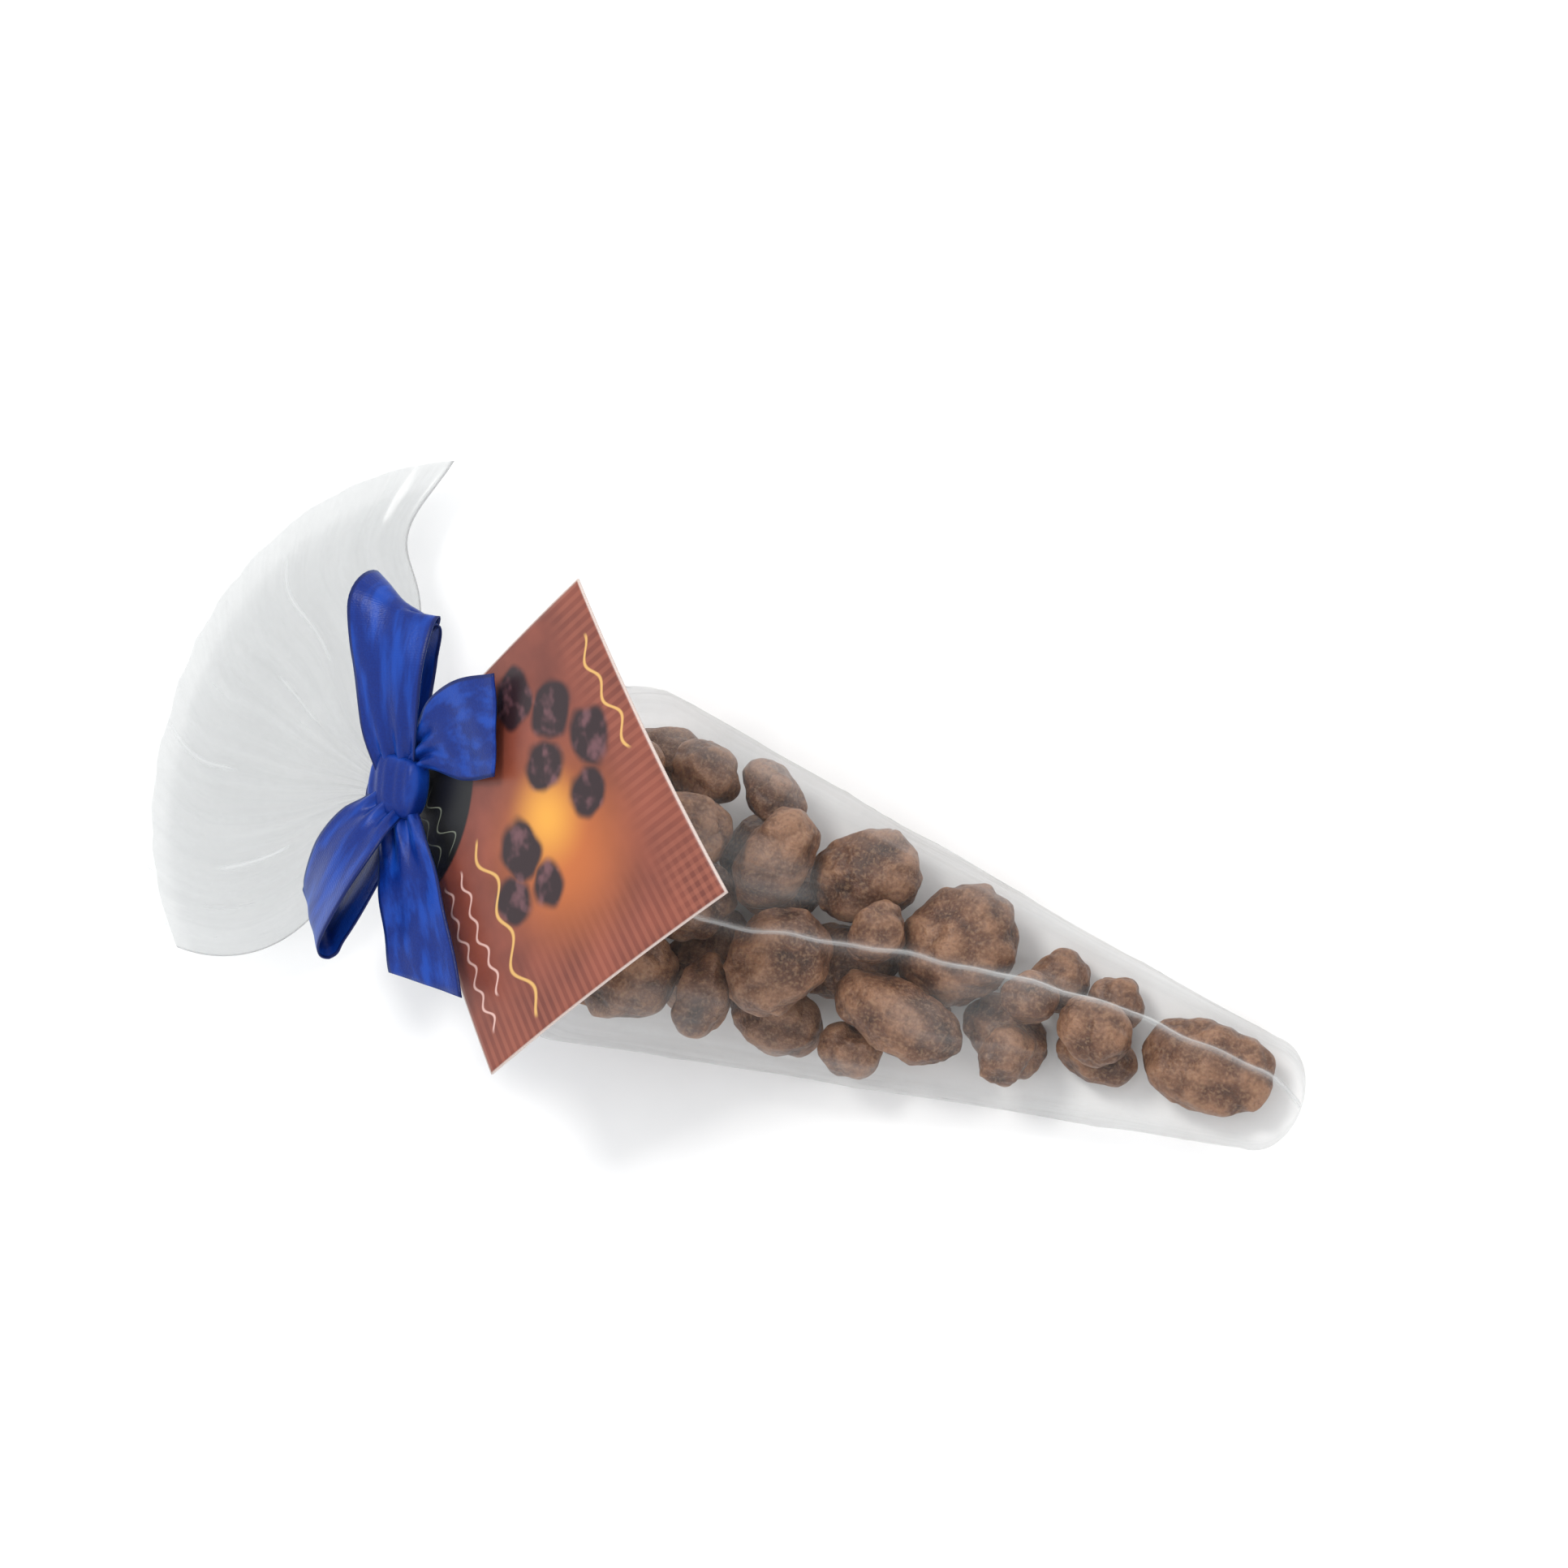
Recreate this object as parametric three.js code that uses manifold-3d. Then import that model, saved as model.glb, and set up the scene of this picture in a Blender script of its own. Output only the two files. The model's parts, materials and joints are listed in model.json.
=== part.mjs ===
// A clear film cone full of chocolate coated sweets, lying on its side. A satin ribbon ties the neck
// in a bow and holds a square card by a hole in its corner, and the mouth fans out past the neck.
// Millimetres, +Z up, the tip towards +X, the mouth towards -X.
import * as THREE from "three";
import { mergeVertices } from "three/addons/utils/BufferGeometryUtils.js";
import Module from "manifold-3d";

const wasm = await Module();
wasm.setup();

// Film bag
const FILM_THICKNESS = 0.35;
const BAG_WIDTH = 67; // at the widest place, just past the shoulder
const BAG_HEIGHT = 44; // at the same place, lying down
const CONE_LENGTH = 134; // widest place to the end of the tip
const TIP_WIDTH = 20;
const TIP_HEIGHT = 14;
const TIP_ROUNDING = 8; // length over which the tip closes
const SHOULDER_LENGTH = 34; // tied neck to the widest place
const NECK_LENGTH = 14;
const NECK_DIAMETER = 9;
const NECK_BORE = 2; // the way left open between the gathered folds
const NECK_HEIGHT = 22; // neck axis above the table
const SEAM_HEIGHT = 0.9; // the sealed back seam stands proud along the upper side
const SEAM_WIDTH = 1.6;
const PLEATS_AROUND = 24;
const NECK_PLEAT_DEPTH = 0.5;
const SHOULDER_PLEAT_DEPTH = 0.9;
const FAN_PLEAT_DEPTH = 0.9;

// Fan of film beyond the neck
const FAN_RADIUS = 56; // neck to the rim in the middle
const FAN_CORNER_REACH = 8; // how much further the upper corner reaches
const FAN_UPPER_ANGLE = THREE.MathUtils.degToRad(80);
const FAN_LOWER_ANGLE = THREE.MathUtils.degToRad(50);
const FAN_ROOT_ANGLE = THREE.MathUtils.degToRad(86); // spread of both edges close to the neck
const FAN_HOOK = THREE.MathUtils.degToRad(6); // dip in the upper edge, inside the corner
const FAN_HOOK_PLACE = 0.78; // as a share of the way from the neck to the rim
const FAN_HOOK_WIDTH = 0.12;
const FAN_DROOP = 13; // how far the rim hangs below the neck
const MOUTH_GAP = 7; // between the two layers at the rim

// Ribbon, half of its knot hidden by the loops
const RIBBON_WIDTH = 16;
const RIBBON_THICKNESS = 0.5;
const WRAP_WIDTH = 10; // the turn round the neck, bunched
const WRAP_THICKNESS = 0.9;
const TAIL_OVER_CARD_SKEW = 0.8; // slanted cuts: how far each end's two corners lie off square
const TAIL_DOWN_SKEW = 5.5;
const STEM_DIAMETER = 2.4; // ribbon drawn through the card
const KNOT_LENGTH = 11;
const KNOT_WIDTH = 13;
const KNOT_HEIGHT = 6;
const KNOT_SLOPE = THREE.MathUtils.degToRad(18);
const KNOT_LIFT = 3.4; // over the card, which bends up under the knot's edge
const KNOT_FORWARD = 4.3; // hole to the knot's middle, towards the tip
const KNOT_ASIDE = 0.6; // and towards -Y

// Card
const CARD_SIDE = 63.5;
const CARD_THICKNESS = 0.5;
const CARD_HOLE_DIAMETER = 3.8;
const CARD_HOLE_INSET = 3.6; // corner to the middle of the hole
const CARD_BEND = 5.2; // rise of the bent card over its straight chord
const CARD_SLOPE = THREE.MathUtils.degToRad(22); // rises from the knot towards the tip
const CARD_ROLL = THREE.MathUtils.degToRad(12); // its +Y corner is the high one
const CARD_REST_GAP = 1.9; // knot corner above the wrap

// Clearance between pieces that touch
const CLEARANCE = 0.3;

// Sweets, each placed in shares of the room at its place: along from the shoulder to the tip, across
// from one side to the other and up from the table. Size is length, width and height in shares of
// SWEET_LENGTH, and heading and tilt turn the length, in degrees.
const SWEET_LENGTH = 21;
const SWEETS = [
  { along: 0.9, across: 0.08, up: 0.52, size: [1.35, 0.85, 0.65], heading: 2, tilt: 0 },
  { along: 0.758, across: 1.03, up: 0.5, size: [0.55, 0.5, 0.5], heading: 20, tilt: 10 },
  { along: 0.732, across: 0.27, up: 0.72, size: [0.75, 0.6, 0.5], heading: -20, tilt: 0 },
  { along: 0.695, across: -0.34, up: 0.5, size: [0.85, 0.5, 0.5], heading: -8, tilt: 0 },
  { along: 0.692, across: 0.61, up: 0.56, size: [0.6, 0.55, 0.55], heading: 70, tilt: 0 },
  { along: 0.671, across: -0.07, up: 0.7, size: [0.55, 0.5, 0.45], heading: 10, tilt: 0 },
  { along: 0.67, across: -0.43, up: 0.5, size: [0.6, 0.5, 0.5], heading: 80, tilt: 0 },
  { along: 0.63, across: 0.85, up: 0.62, size: [1.25, 1.1, 0.85], heading: 60, tilt: 0 },
  { along: 0.638, across: -0.26, up: 0.64, size: [1.5, 0.7, 0.7], heading: -9, tilt: 0 },
  { along: 0.546, across: 0.94, up: 0.56, size: [1.1, 0.9, 0.8], heading: 35, tilt: 0 },
  { along: 0.435, across: -0.4, up: 0.74, size: [1.15, 0.95, 0.75], heading: 65, tilt: 0 },
  { along: 0.508, across: -0.72, up: 0.4, size: [0.65, 0.5, 0.5], heading: 0, tilt: 0 },
  { along: 0.455, across: 0.04, up: 0.8, size: [0.65, 0.55, 0.55], heading: 80, tilt: 20 },
  { along: 0.335, across: -0.27, up: 0.55, size: [0.85, 0.5, 0.7], heading: 85, tilt: 0 },
  { along: 0.284, across: -0.68, up: 0.66, size: [1, 0.95, 0.8], heading: 20, tilt: 0 },
  { along: 0.37, across: 0.17, up: 0.56, size: [0.9, 0.8, 0.7], heading: 30, tilt: 0 },
  { along: 0.448, across: 0.7, up: 0.64, size: [1.1, 0.65, 0.75], heading: 75, tilt: 0 },
  { along: 0.365, across: 0.43, up: 0.76, size: [0.95, 0.8, 0.7], heading: 25, tilt: 8 },
  { along: 0.304, across: 1.02, up: 0.48, size: [0.85, 0.5, 0.55], heading: -35, tilt: 0 },
  { along: 0.245, across: 0.84, up: 0.56, size: [0.7, 0.6, 0.6], heading: -20, tilt: 0 },
  { along: 0.21, across: 0.4, up: 0.8, size: [1, 0.85, 0.75], heading: 50, tilt: 0 },
  { along: 0.21, across: -0.12, up: 0.82, size: [1.1, 0.85, 0.75], heading: -30, tilt: 0 },
  { along: 0.185, across: -0.58, up: 0.7, size: [1, 0.85, 0.75], heading: 10, tilt: 0 },
  { along: 0.1, across: 0.45, up: 0.6, size: [0.9, 0.75, 0.75], heading: 60, tilt: 0 },
  { along: 0.1, across: -0.08, up: 0.66, size: [0.95, 0.8, 0.75], heading: 0, tilt: 0 },
  { along: 0.1, across: -0.5, up: 0.45, size: [0.85, 0.75, 0.7], heading: 80, tilt: 0 },
  { along: 0.24, across: 0.52, up: 0.24, size: [1.15, 0.85, 0.75], heading: 25, tilt: 0 },
  { along: 0.25, across: 0, up: 0.22, size: [1.2, 0.85, 0.75], heading: -15, tilt: 0 },
  { along: 0.24, across: -0.52, up: 0.24, size: [1.1, 0.85, 0.75], heading: 60, tilt: 0 },
  { along: 0.39, across: 0.32, up: 0.24, size: [1.2, 0.85, 0.75], heading: -30, tilt: 0 },
  { along: 0.39, across: -0.1, up: 0.22, size: [1.15, 0.8, 0.75], heading: 70, tilt: 0 },
  { along: 0.42, across: -0.58, up: 0.26, size: [1, 0.7, 0.65], heading: -10, tilt: 0 },
  { along: 0.54, across: 0.1, up: 0.26, size: [1.15, 0.75, 0.65], heading: 20, tilt: 0 },
  { along: 0.57, across: -0.25, up: 0.26, size: [0.95, 0.65, 0.55], heading: 30, tilt: 0 },
  { along: 0.64, across: -0.35, up: 0.26, size: [0.95, 0.65, 0.5], heading: -20, tilt: 0 },
  { along: 0.11, across: 0.05, up: 0.22, size: [1, 0.8, 0.7], heading: 40, tilt: 0 },
];
const SWEET_LUMPINESS = 0.06; // how uneven the coating is, as a share of the radius
const SWEET_START = 8; // neck to where the first sweet may lie

// Colours
const FILM_COLOUR = 0xeef1f3;
const CHOCOLATE_COLOURS = [0x6f4b37, 0x7a5440, 0x64432f, 0x76503f];
const RIBBON_COLOUR = 0x14348f;
const CARD_COLOUR = 0x9a4a38;

// Mesh fineness
const COLUMNS = 2 * PLEATS_AROUND;
const TIP_RINGS = 4;
const CONE_RINGS = 7;
const SHOULDER_RINGS = 6;
const NECK_RINGS = 1;
const FAN_RINGS = 9;
const SWEET_COLUMNS = 12;
const SWEET_RINGS = 5;
const LOOP_STATIONS = 16;
const TAIL_STATIONS = 7;
const CARD_STEPS = 6;
const ROUND_SEGMENTS = 20;

// Places along the bag
const NECK_RADIUS = NECK_DIAMETER / 2;
const NECK_END = NECK_LENGTH;
const WIDEST = NECK_END + SHOULDER_LENGTH;
const TIP_END = WIDEST + CONE_LENGTH;
const TIP_START = TIP_END - TIP_ROUNDING;

const { lerp, clamp, smoothstep } = THREE.MathUtils;

// Sections of the bag

// Shapes that the cross-section takes between the round neck and the cushion-like body.
const BODY_CREST = 1.3; // above 1 the sides run out to a thin edge
const BODY_CENTRE = 0.38; // height of the side edges, as a share of the section's height
const BODY_FLATTENING = 1.2; // the underside would go this far below the table if it could

function bodySection(x) {
  const along = clamp((x - NECK_END) / SHOULDER_LENGTH, 0, 1);
  const opened = 1 - (1 - along) ** 2;
  const landed = 1 - (1 - along) ** 3;
  const cone = clamp((x - WIDEST) / (TIP_START - WIDEST), 0, 1);
  const closing = Math.sqrt(Math.max(0, 1 - clamp((x - TIP_START) / TIP_ROUNDING, 0, 1) ** 2.4));
  const fullHalf = lerp(BAG_WIDTH / 2, TIP_WIDTH / 2, cone);
  const fullTop = lerp(BAG_HEIGHT, TIP_HEIGHT, cone);
  const top = lerp(NECK_HEIGHT + NECK_RADIUS, fullTop, opened);
  const bottom = (NECK_HEIGHT - NECK_RADIUS) * (1 - landed);
  const centre = lerp(lerp(0.5, BODY_CENTRE, opened) * (top - bottom) + bottom, BODY_CENTRE * fullTop, cone);
  return {
    half: lerp(NECK_RADIUS, fullHalf, opened) * closing,
    centre,
    up: (top - centre) * closing,
    down: (centre - bottom) * lerp(1, BODY_FLATTENING, opened) * closing,
    bottom: centre - (centre - bottom) * closing,
    crest: lerp(1, BODY_CREST, opened),
  };
}

// How much the film's wall grows across a section where the shoulder is steep.
function steepness(x) {
  const step = 0.5;
  const slope = (bodySection(x + step).half - bodySection(x - step).half) / (2 * step);
  return Math.min(2.2, Math.hypot(1, slope));
}

// The same section drawn in by a margin on every side.
function innerSection(x, margin) {
  const section = bodySection(x);
  return {
    ...section,
    half: Math.max(0, section.half - margin),
    up: Math.max(0, section.up - margin),
    down: Math.max(0, section.down - margin),
    bottom: Math.min(section.bottom + margin, section.centre),
  };
}

function sectionPoint(section, angle, proud) {
  const lift = Math.abs(Math.sin(angle)) ** section.crest;
  const y = (section.half + proud) * Math.cos(angle);
  if (Math.sin(angle) >= 0) return [y, section.centre + (section.up + proud) * lift];
  return [y, Math.max(section.bottom, section.centre - (section.down + proud) * lift)];
}

// The seam wanders: it starts near the middle of the upper side and drifts towards +Y at the tip.
function seamAngle(x) {
  const drift = smoothstep(x, WIDEST + 0.2 * CONE_LENGTH, WIDEST + 0.8 * CONE_LENGTH);
  return THREE.MathUtils.degToRad(lerp(95, 66, drift));
}

// Angle of each column of the film. The middle column of the upper side follows the seam, and its two
// neighbours close in on it where the body is plain.
function columnAngle(column, x) {
  const quarter = COLUMNS / 4;
  if (column > 2 * quarter) return (2 * Math.PI * column) / COLUMNS;
  const plain = smoothstep(x, NECK_END, WIDEST);
  const seam = lerp(Math.PI / 2, seamAngle(x), plain);
  const away = column - quarter;
  const span = away < 0 ? seam : Math.PI - seam;
  const even = (span * away) / quarter;
  if (Math.abs(away) !== 1) return seam + even;
  const half = Math.max(bodySection(x).half, SEAM_WIDTH);
  return seam + lerp(even, (Math.sign(away) * SEAM_WIDTH) / 2 / half, plain);
}

// Depth of the gathers that run from the tied neck into the shoulder.
function pleatDepth(x) {
  const along = clamp((x - NECK_END) / SHOULDER_LENGTH, 0, 1);
  const swell = lerp(NECK_PLEAT_DEPTH, SHOULDER_PLEAT_DEPTH, smoothstep(along, 0, 0.3));
  return swell * (1 - smoothstep(along, 0.35, 1));
}

function bodyProud(column, x) {
  const pleat = pleatDepth(x) * (column % 2 ? -1 : 1);
  const onSeam = column === COLUMNS / 4 ? 1 : 0;
  const seam = SEAM_HEIGHT * onSeam * smoothstep(x, NECK_END, WIDEST) * (1 - smoothstep(x, TIP_START, TIP_END));
  return pleat + seam;
}

function outerBodyPoint(column, x) {
  const [y, z] = sectionPoint(bodySection(x), columnAngle(column, x), bodyProud(column, x));
  return new THREE.Vector3(x, y, Math.max(0, z));
}

function innerBodyPoint(column, x) {
  const along = clamp((x - NECK_END) / SHOULDER_LENGTH, 0, 1);
  const thin = smoothstep(along, 0, 0.3);
  const wall = lerp(NECK_RADIUS - NECK_BORE / 2, FILM_THICKNESS * steepness(x), thin);
  const closing = smoothstep(x, TIP_START, TIP_END);
  const pleat = column === COLUMNS / 4 ? 0 : bodyProud(column, x);
  const section = innerSection(x, wall);
  const [y, z] = sectionPoint(section, columnAngle(column, x), pleat * thin);
  return new THREE.Vector3(x - FILM_THICKNESS * closing, y, Math.max(z, section.bottom));
}

// Fan: two pleated layers spread round the neck

function fanEdges(reach) {
  const hook = FAN_HOOK * Math.exp(-(((reach - FAN_HOOK_PLACE) / FAN_HOOK_WIDTH) ** 2));
  return {
    upper: lerp(FAN_ROOT_ANGLE, FAN_UPPER_ANGLE, Math.sqrt(reach)) - hook,
    lower: lerp(FAN_ROOT_ANGLE, FAN_LOWER_ANGLE, reach ** 1.7),
  };
}

function fanPoint(column, reach, inside) {
  const turn = (2 * Math.PI * column) / COLUMNS;
  const share = column <= COLUMNS / 2 ? 1 - (4 * column) / COLUMNS : (4 * column) / COLUMNS - 3;
  const layer = Math.sign(Math.sin(turn)) * Math.abs(Math.sin(turn)) ** 0.7;
  const { upper, lower } = fanEdges(reach);
  const middle = (upper - lower) / 2;
  const spread = (upper + lower) / 2;
  const towards = middle + spread * share;
  const corner = FAN_CORNER_REACH * clamp(towards / FAN_UPPER_ANGLE, 0, 1);
  const radius = lerp(NECK_RADIUS, FAN_RADIUS + corner, reach);
  const opening = lerp(NECK_RADIUS * 0.55, MOUTH_GAP / 2, smoothstep(reach, 0.2, 1));

  // The inner surface keeps the gathered neck nearly closed and thins out to the film's own wall.
  const thin = smoothstep(reach, 0, 0.3);
  const bore = NECK_BORE / NECK_DIAMETER;
  const across = inside ? lerp(bore, 1 - (1.6 * FILM_THICKNESS) / (radius * spread), thin) : 1;
  const deep = inside ? lerp(bore, 1 - FILM_THICKNESS / opening, thin) : 1;
  const pleated = inside ? thin : 1;

  const heading = middle + spread * share * across;
  const height = NECK_HEIGHT - FAN_DROOP * reach;
  const pleatSize = lerp(0, FAN_PLEAT_DEPTH, smoothstep(reach, 0, 0.25)) * Math.abs(Math.sin(turn)) ** 0.5;
  const pleat = pleatSize * (column % 2 ? -1 : 1) * pleated;
  const fan = new THREE.Vector3(
    -radius * Math.cos(heading),
    radius * Math.sin(heading),
    height + opening * layer * deep + pleat,
  );
  const round = NECK_RADIUS * across + NECK_PLEAT_DEPTH * (column % 2 ? -1 : 1) * (inside ? 0 : 1);
  const bundle = new THREE.Vector3(-radius * reach, round * Math.cos(turn), height + round * Math.sin(turn));
  return bundle.lerp(fan, smoothstep(reach, 0, 0.22));
}

// The film's rings, from the tip to the rim of the mouth.
function filmRings() {
  const rings = [];
  for (let i = 1; i <= TIP_RINGS; i += 1) {
    const turn = (Math.PI / 2) * (1 - i / TIP_RINGS);
    const x = TIP_START + TIP_ROUNDING * Math.sin(turn);
    rings.push({ outer: (c) => outerBodyPoint(c, x), inner: (c) => innerBodyPoint(c, x) });
  }
  const lengths = [
    [TIP_START, WIDEST, CONE_RINGS],
    [WIDEST, NECK_END, SHOULDER_RINGS],
    [NECK_END, 0, NECK_RINGS],
  ];
  for (const [from, to, count] of lengths) {
    for (let i = 1; i <= count; i += 1) {
      const x = lerp(from, to, i / count);
      rings.push({ outer: (c) => outerBodyPoint(c, x), inner: (c) => innerBodyPoint(c, x) });
    }
  }
  for (let i = 1; i <= FAN_RINGS; i += 1) {
    const reach = (i / FAN_RINGS) ** 1.25;
    rings.push({ outer: (c) => fanPoint(c, reach, false), inner: (c) => fanPoint(c, reach, true) });
  }
  return rings;
}

function geometryFrom(points, triangles) {
  const geometry = new THREE.BufferGeometry();
  geometry.setAttribute("position", new THREE.Float32BufferAttribute(points.flatMap((p) => [p.x, p.y, p.z]), 3));
  geometry.setIndex(triangles.flat());
  return facingOut(geometry);
}

function facingOut(geometry) {
  const position = geometry.getAttribute("position");
  const index = geometry.getIndex();
  const corner = [0, 1, 2].map(() => new THREE.Vector3());
  let volume = 0;
  for (let i = 0; i < index.count; i += 3) {
    corner.forEach((point, k) => point.fromBufferAttribute(position, index.getX(i + k)));
    volume += corner[0].dot(corner[1].clone().cross(corner[2]));
  }
  if (volume < 0) {
    for (let i = 0; i < index.count; i += 3) {
      const swapped = index.getX(i + 1);
      index.setX(i + 1, index.getX(i + 2));
      index.setX(i + 2, swapped);
    }
  }
  geometry.computeVertexNormals();
  return geometry;
}

// Triangles between rings of equal count, and between a ring and a point.
function band(first, second, count) {
  const triangles = [];
  for (let i = 0; i < count; i += 1) {
    const next = (i + 1) % count;
    triangles.push([first + i, second + i, second + next], [first + i, second + next, first + next]);
  }
  return triangles;
}

function cap(pole, ring, count) {
  return Array.from({ length: count }, (_, i) => [pole, ring + i, ring + ((i + 1) % count)]);
}

function filmGeometry() {
  const rings = filmRings();
  const tipHeight = bodySection(TIP_END).centre;
  const points = [new THREE.Vector3(TIP_END, 0, tipHeight)];
  const triangles = [];
  const columns = [...Array(COLUMNS).keys()];
  rings.forEach((ring) => points.push(...columns.map(ring.outer)));
  [...rings].reverse().forEach((ring) => points.push(...columns.map(ring.inner)));
  points.push(new THREE.Vector3(TIP_END - FILM_THICKNESS, 0, tipHeight));
  const ringCount = 2 * rings.length;
  triangles.push(...cap(0, 1, COLUMNS));
  for (let i = 0; i < ringCount - 1; i += 1) {
    triangles.push(...band(1 + i * COLUMNS, 1 + (i + 1) * COLUMNS, COLUMNS));
  }
  const last = 1 + (ringCount - 1) * COLUMNS;
  triangles.push(...cap(points.length - 1, last, COLUMNS).map(([a, b, c]) => [a, c, b]));
  return geometryFrom(points, triangles);
}

// Card: a bent square plate, its knot corner over the neck

const CARD_REACH = CARD_SIDE / Math.SQRT2;
const WRAP_INNER_RADIUS = NECK_RADIUS + NECK_PLEAT_DEPTH + CLEARANCE;
const WRAP_OUTER_RADIUS = WRAP_INNER_RADIUS + WRAP_THICKNESS;
const CARD_ALONG = new THREE.Vector3(Math.cos(CARD_SLOPE), 0, Math.sin(CARD_SLOPE));
const CARD_UP = new THREE.Vector3(-Math.sin(CARD_SLOPE), 0, Math.cos(CARD_SLOPE));
const CARD_ACROSS = new THREE.Vector3(0, 1, 0).applyAxisAngle(CARD_ALONG, CARD_ROLL);
CARD_UP.applyAxisAngle(CARD_ALONG, CARD_ROLL);
const CARD_OFFSET_Y = 3.9; // the card's corner lies off the neck's axis, towards +Y
const CARD_CORNER = new THREE.Vector3(
  NECK_LENGTH / 2,
  CARD_OFFSET_Y,
  NECK_HEIGHT + WRAP_OUTER_RADIUS - CARD_OFFSET_Y / 2 + CARD_REST_GAP,
);
const CARD_CENTRE = CARD_CORNER.clone().addScaledVector(CARD_ALONG, CARD_REACH);

// A place on the card: along its diagonal from the middle, across it, and above its middle surface.
function cardPoint(along, across, above) {
  const bend = CARD_BEND * (1 - (along / CARD_REACH) ** 2);
  return CARD_CENTRE.clone()
    .addScaledVector(CARD_ALONG, along)
    .addScaledVector(CARD_ACROSS, across)
    .addScaledVector(CARD_UP, bend + above);
}

const HOLE_CENTRE = cardPoint(CARD_HOLE_INSET - CARD_REACH, 0, 0);

function toManifold(geometry) {
  const bare = geometry.index ? geometry.clone() : geometry;
  bare.deleteAttribute("normal");
  bare.deleteAttribute("uv");
  const merged = mergeVertices(bare, 1e-4);
  return new wasm.Manifold(
    new wasm.Mesh({
      numProp: 3,
      vertProperties: new Float32Array(merged.getAttribute("position").array),
      triVerts: new Uint32Array(merged.getIndex().array),
    }),
  );
}

function fromManifold(solid) {
  const mesh = solid.getMesh();
  const geometry = new THREE.BufferGeometry();
  geometry.setAttribute("position", new THREE.BufferAttribute(new Float32Array(mesh.vertProperties), 3));
  geometry.setIndex(new THREE.BufferAttribute(new Uint32Array(mesh.triVerts), 1));
  geometry.computeVertexNormals();
  return geometry;
}

function uprightCylinder(radius, height, at) {
  const geometry = new THREE.CylinderGeometry(radius, radius, height, ROUND_SEGMENTS);
  geometry.rotateX(Math.PI / 2);
  geometry.translate(at.x, at.y, at.z);
  return geometry;
}

function cardGeometry() {
  const points = [];
  const triangles = [];
  const side = CARD_STEPS + 1;
  const place = (i, j, face) => face * side * side + i * side + j;
  for (const above of [CARD_THICKNESS / 2, -CARD_THICKNESS / 2]) {
    for (let i = 0; i < side; i += 1) {
      for (let j = 0; j < side; j += 1) {
        const a = i / CARD_STEPS;
        const b = j / CARD_STEPS;
        points.push(cardPoint((a + b - 1) * CARD_REACH, (b - a) * CARD_REACH, above));
      }
    }
  }
  for (let i = 0; i < CARD_STEPS; i += 1) {
    for (let j = 0; j < CARD_STEPS; j += 1) {
      triangles.push([place(i, j, 0), place(i + 1, j, 0), place(i + 1, j + 1, 0)]);
      triangles.push([place(i, j, 0), place(i + 1, j + 1, 0), place(i, j + 1, 0)]);
      triangles.push([place(i, j, 1), place(i + 1, j + 1, 1), place(i + 1, j, 1)]);
      triangles.push([place(i, j, 1), place(i, j + 1, 1), place(i + 1, j + 1, 1)]);
    }
    const edges = [
      [place(i, 0, 0), place(i + 1, 0, 0), place(i, 0, 1), place(i + 1, 0, 1)],
      [place(i + 1, CARD_STEPS, 0), place(i, CARD_STEPS, 0), place(i + 1, CARD_STEPS, 1), place(i, CARD_STEPS, 1)],
      [place(0, i + 1, 0), place(0, i, 0), place(0, i + 1, 1), place(0, i, 1)],
      [place(CARD_STEPS, i, 0), place(CARD_STEPS, i + 1, 0), place(CARD_STEPS, i, 1), place(CARD_STEPS, i + 1, 1)],
    ];
    for (const [a, b, c, d] of edges) triangles.push([a, c, d], [a, d, b]);
  }
  const plate = toManifold(geometryFrom(points, triangles));
  const hole = toManifold(uprightCylinder(CARD_HOLE_DIAMETER / 2, 4 * CARD_HOLE_INSET, HOLE_CENTRE));
  return fromManifold(plate.subtract(hole));
}

// Ribbon: a turn round the neck, a stem up through the card, the knot, two loops and two tails

const KNOT_CENTRE = HOLE_CENTRE.clone()
  .add(new THREE.Vector3(KNOT_FORWARD, -KNOT_ASIDE, 0))
  .addScaledVector(CARD_UP, CARD_THICKNESS / 2 + CLEARANCE + KNOT_HEIGHT / 2 + KNOT_LIFT);

// Each control gives a place from the knot's centre in ribbon widths, the way across the ribbon and its
// share of the ribbon's width, because the ribbon is bunched where it enters the knot.
const LOOP_UP = [
  { at: [-0.03, 0.12, 0.06], side: [1, 0, 0], width: 0.5 },
  { at: [-0.21, 0.62, 0.29], side: [0.98, 0.05, 0.1], width: 0.8 },
  { at: [-0.41, 1.34, 0.47], side: [0.96, -0.15, 0.1], width: 1 },
  { at: [-0.56, 1.89, 0.41], side: [0.9, -0.36, 0.12], width: 1.14 },
  { at: [-0.51, 1.96, 0.19], side: [0.9, -0.36, 0.12], width: 1.16 },
  { at: [-0.5, 1.41, -0.03], side: [0.96, -0.15, 0], width: 0.96 },
  { at: [-0.28, 0.62, -0.03], side: [0.98, 0.05, 0], width: 0.75 },
  { at: [-0.06, 0.12, 0], side: [1, 0, 0], width: 0.45 },
];
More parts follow.
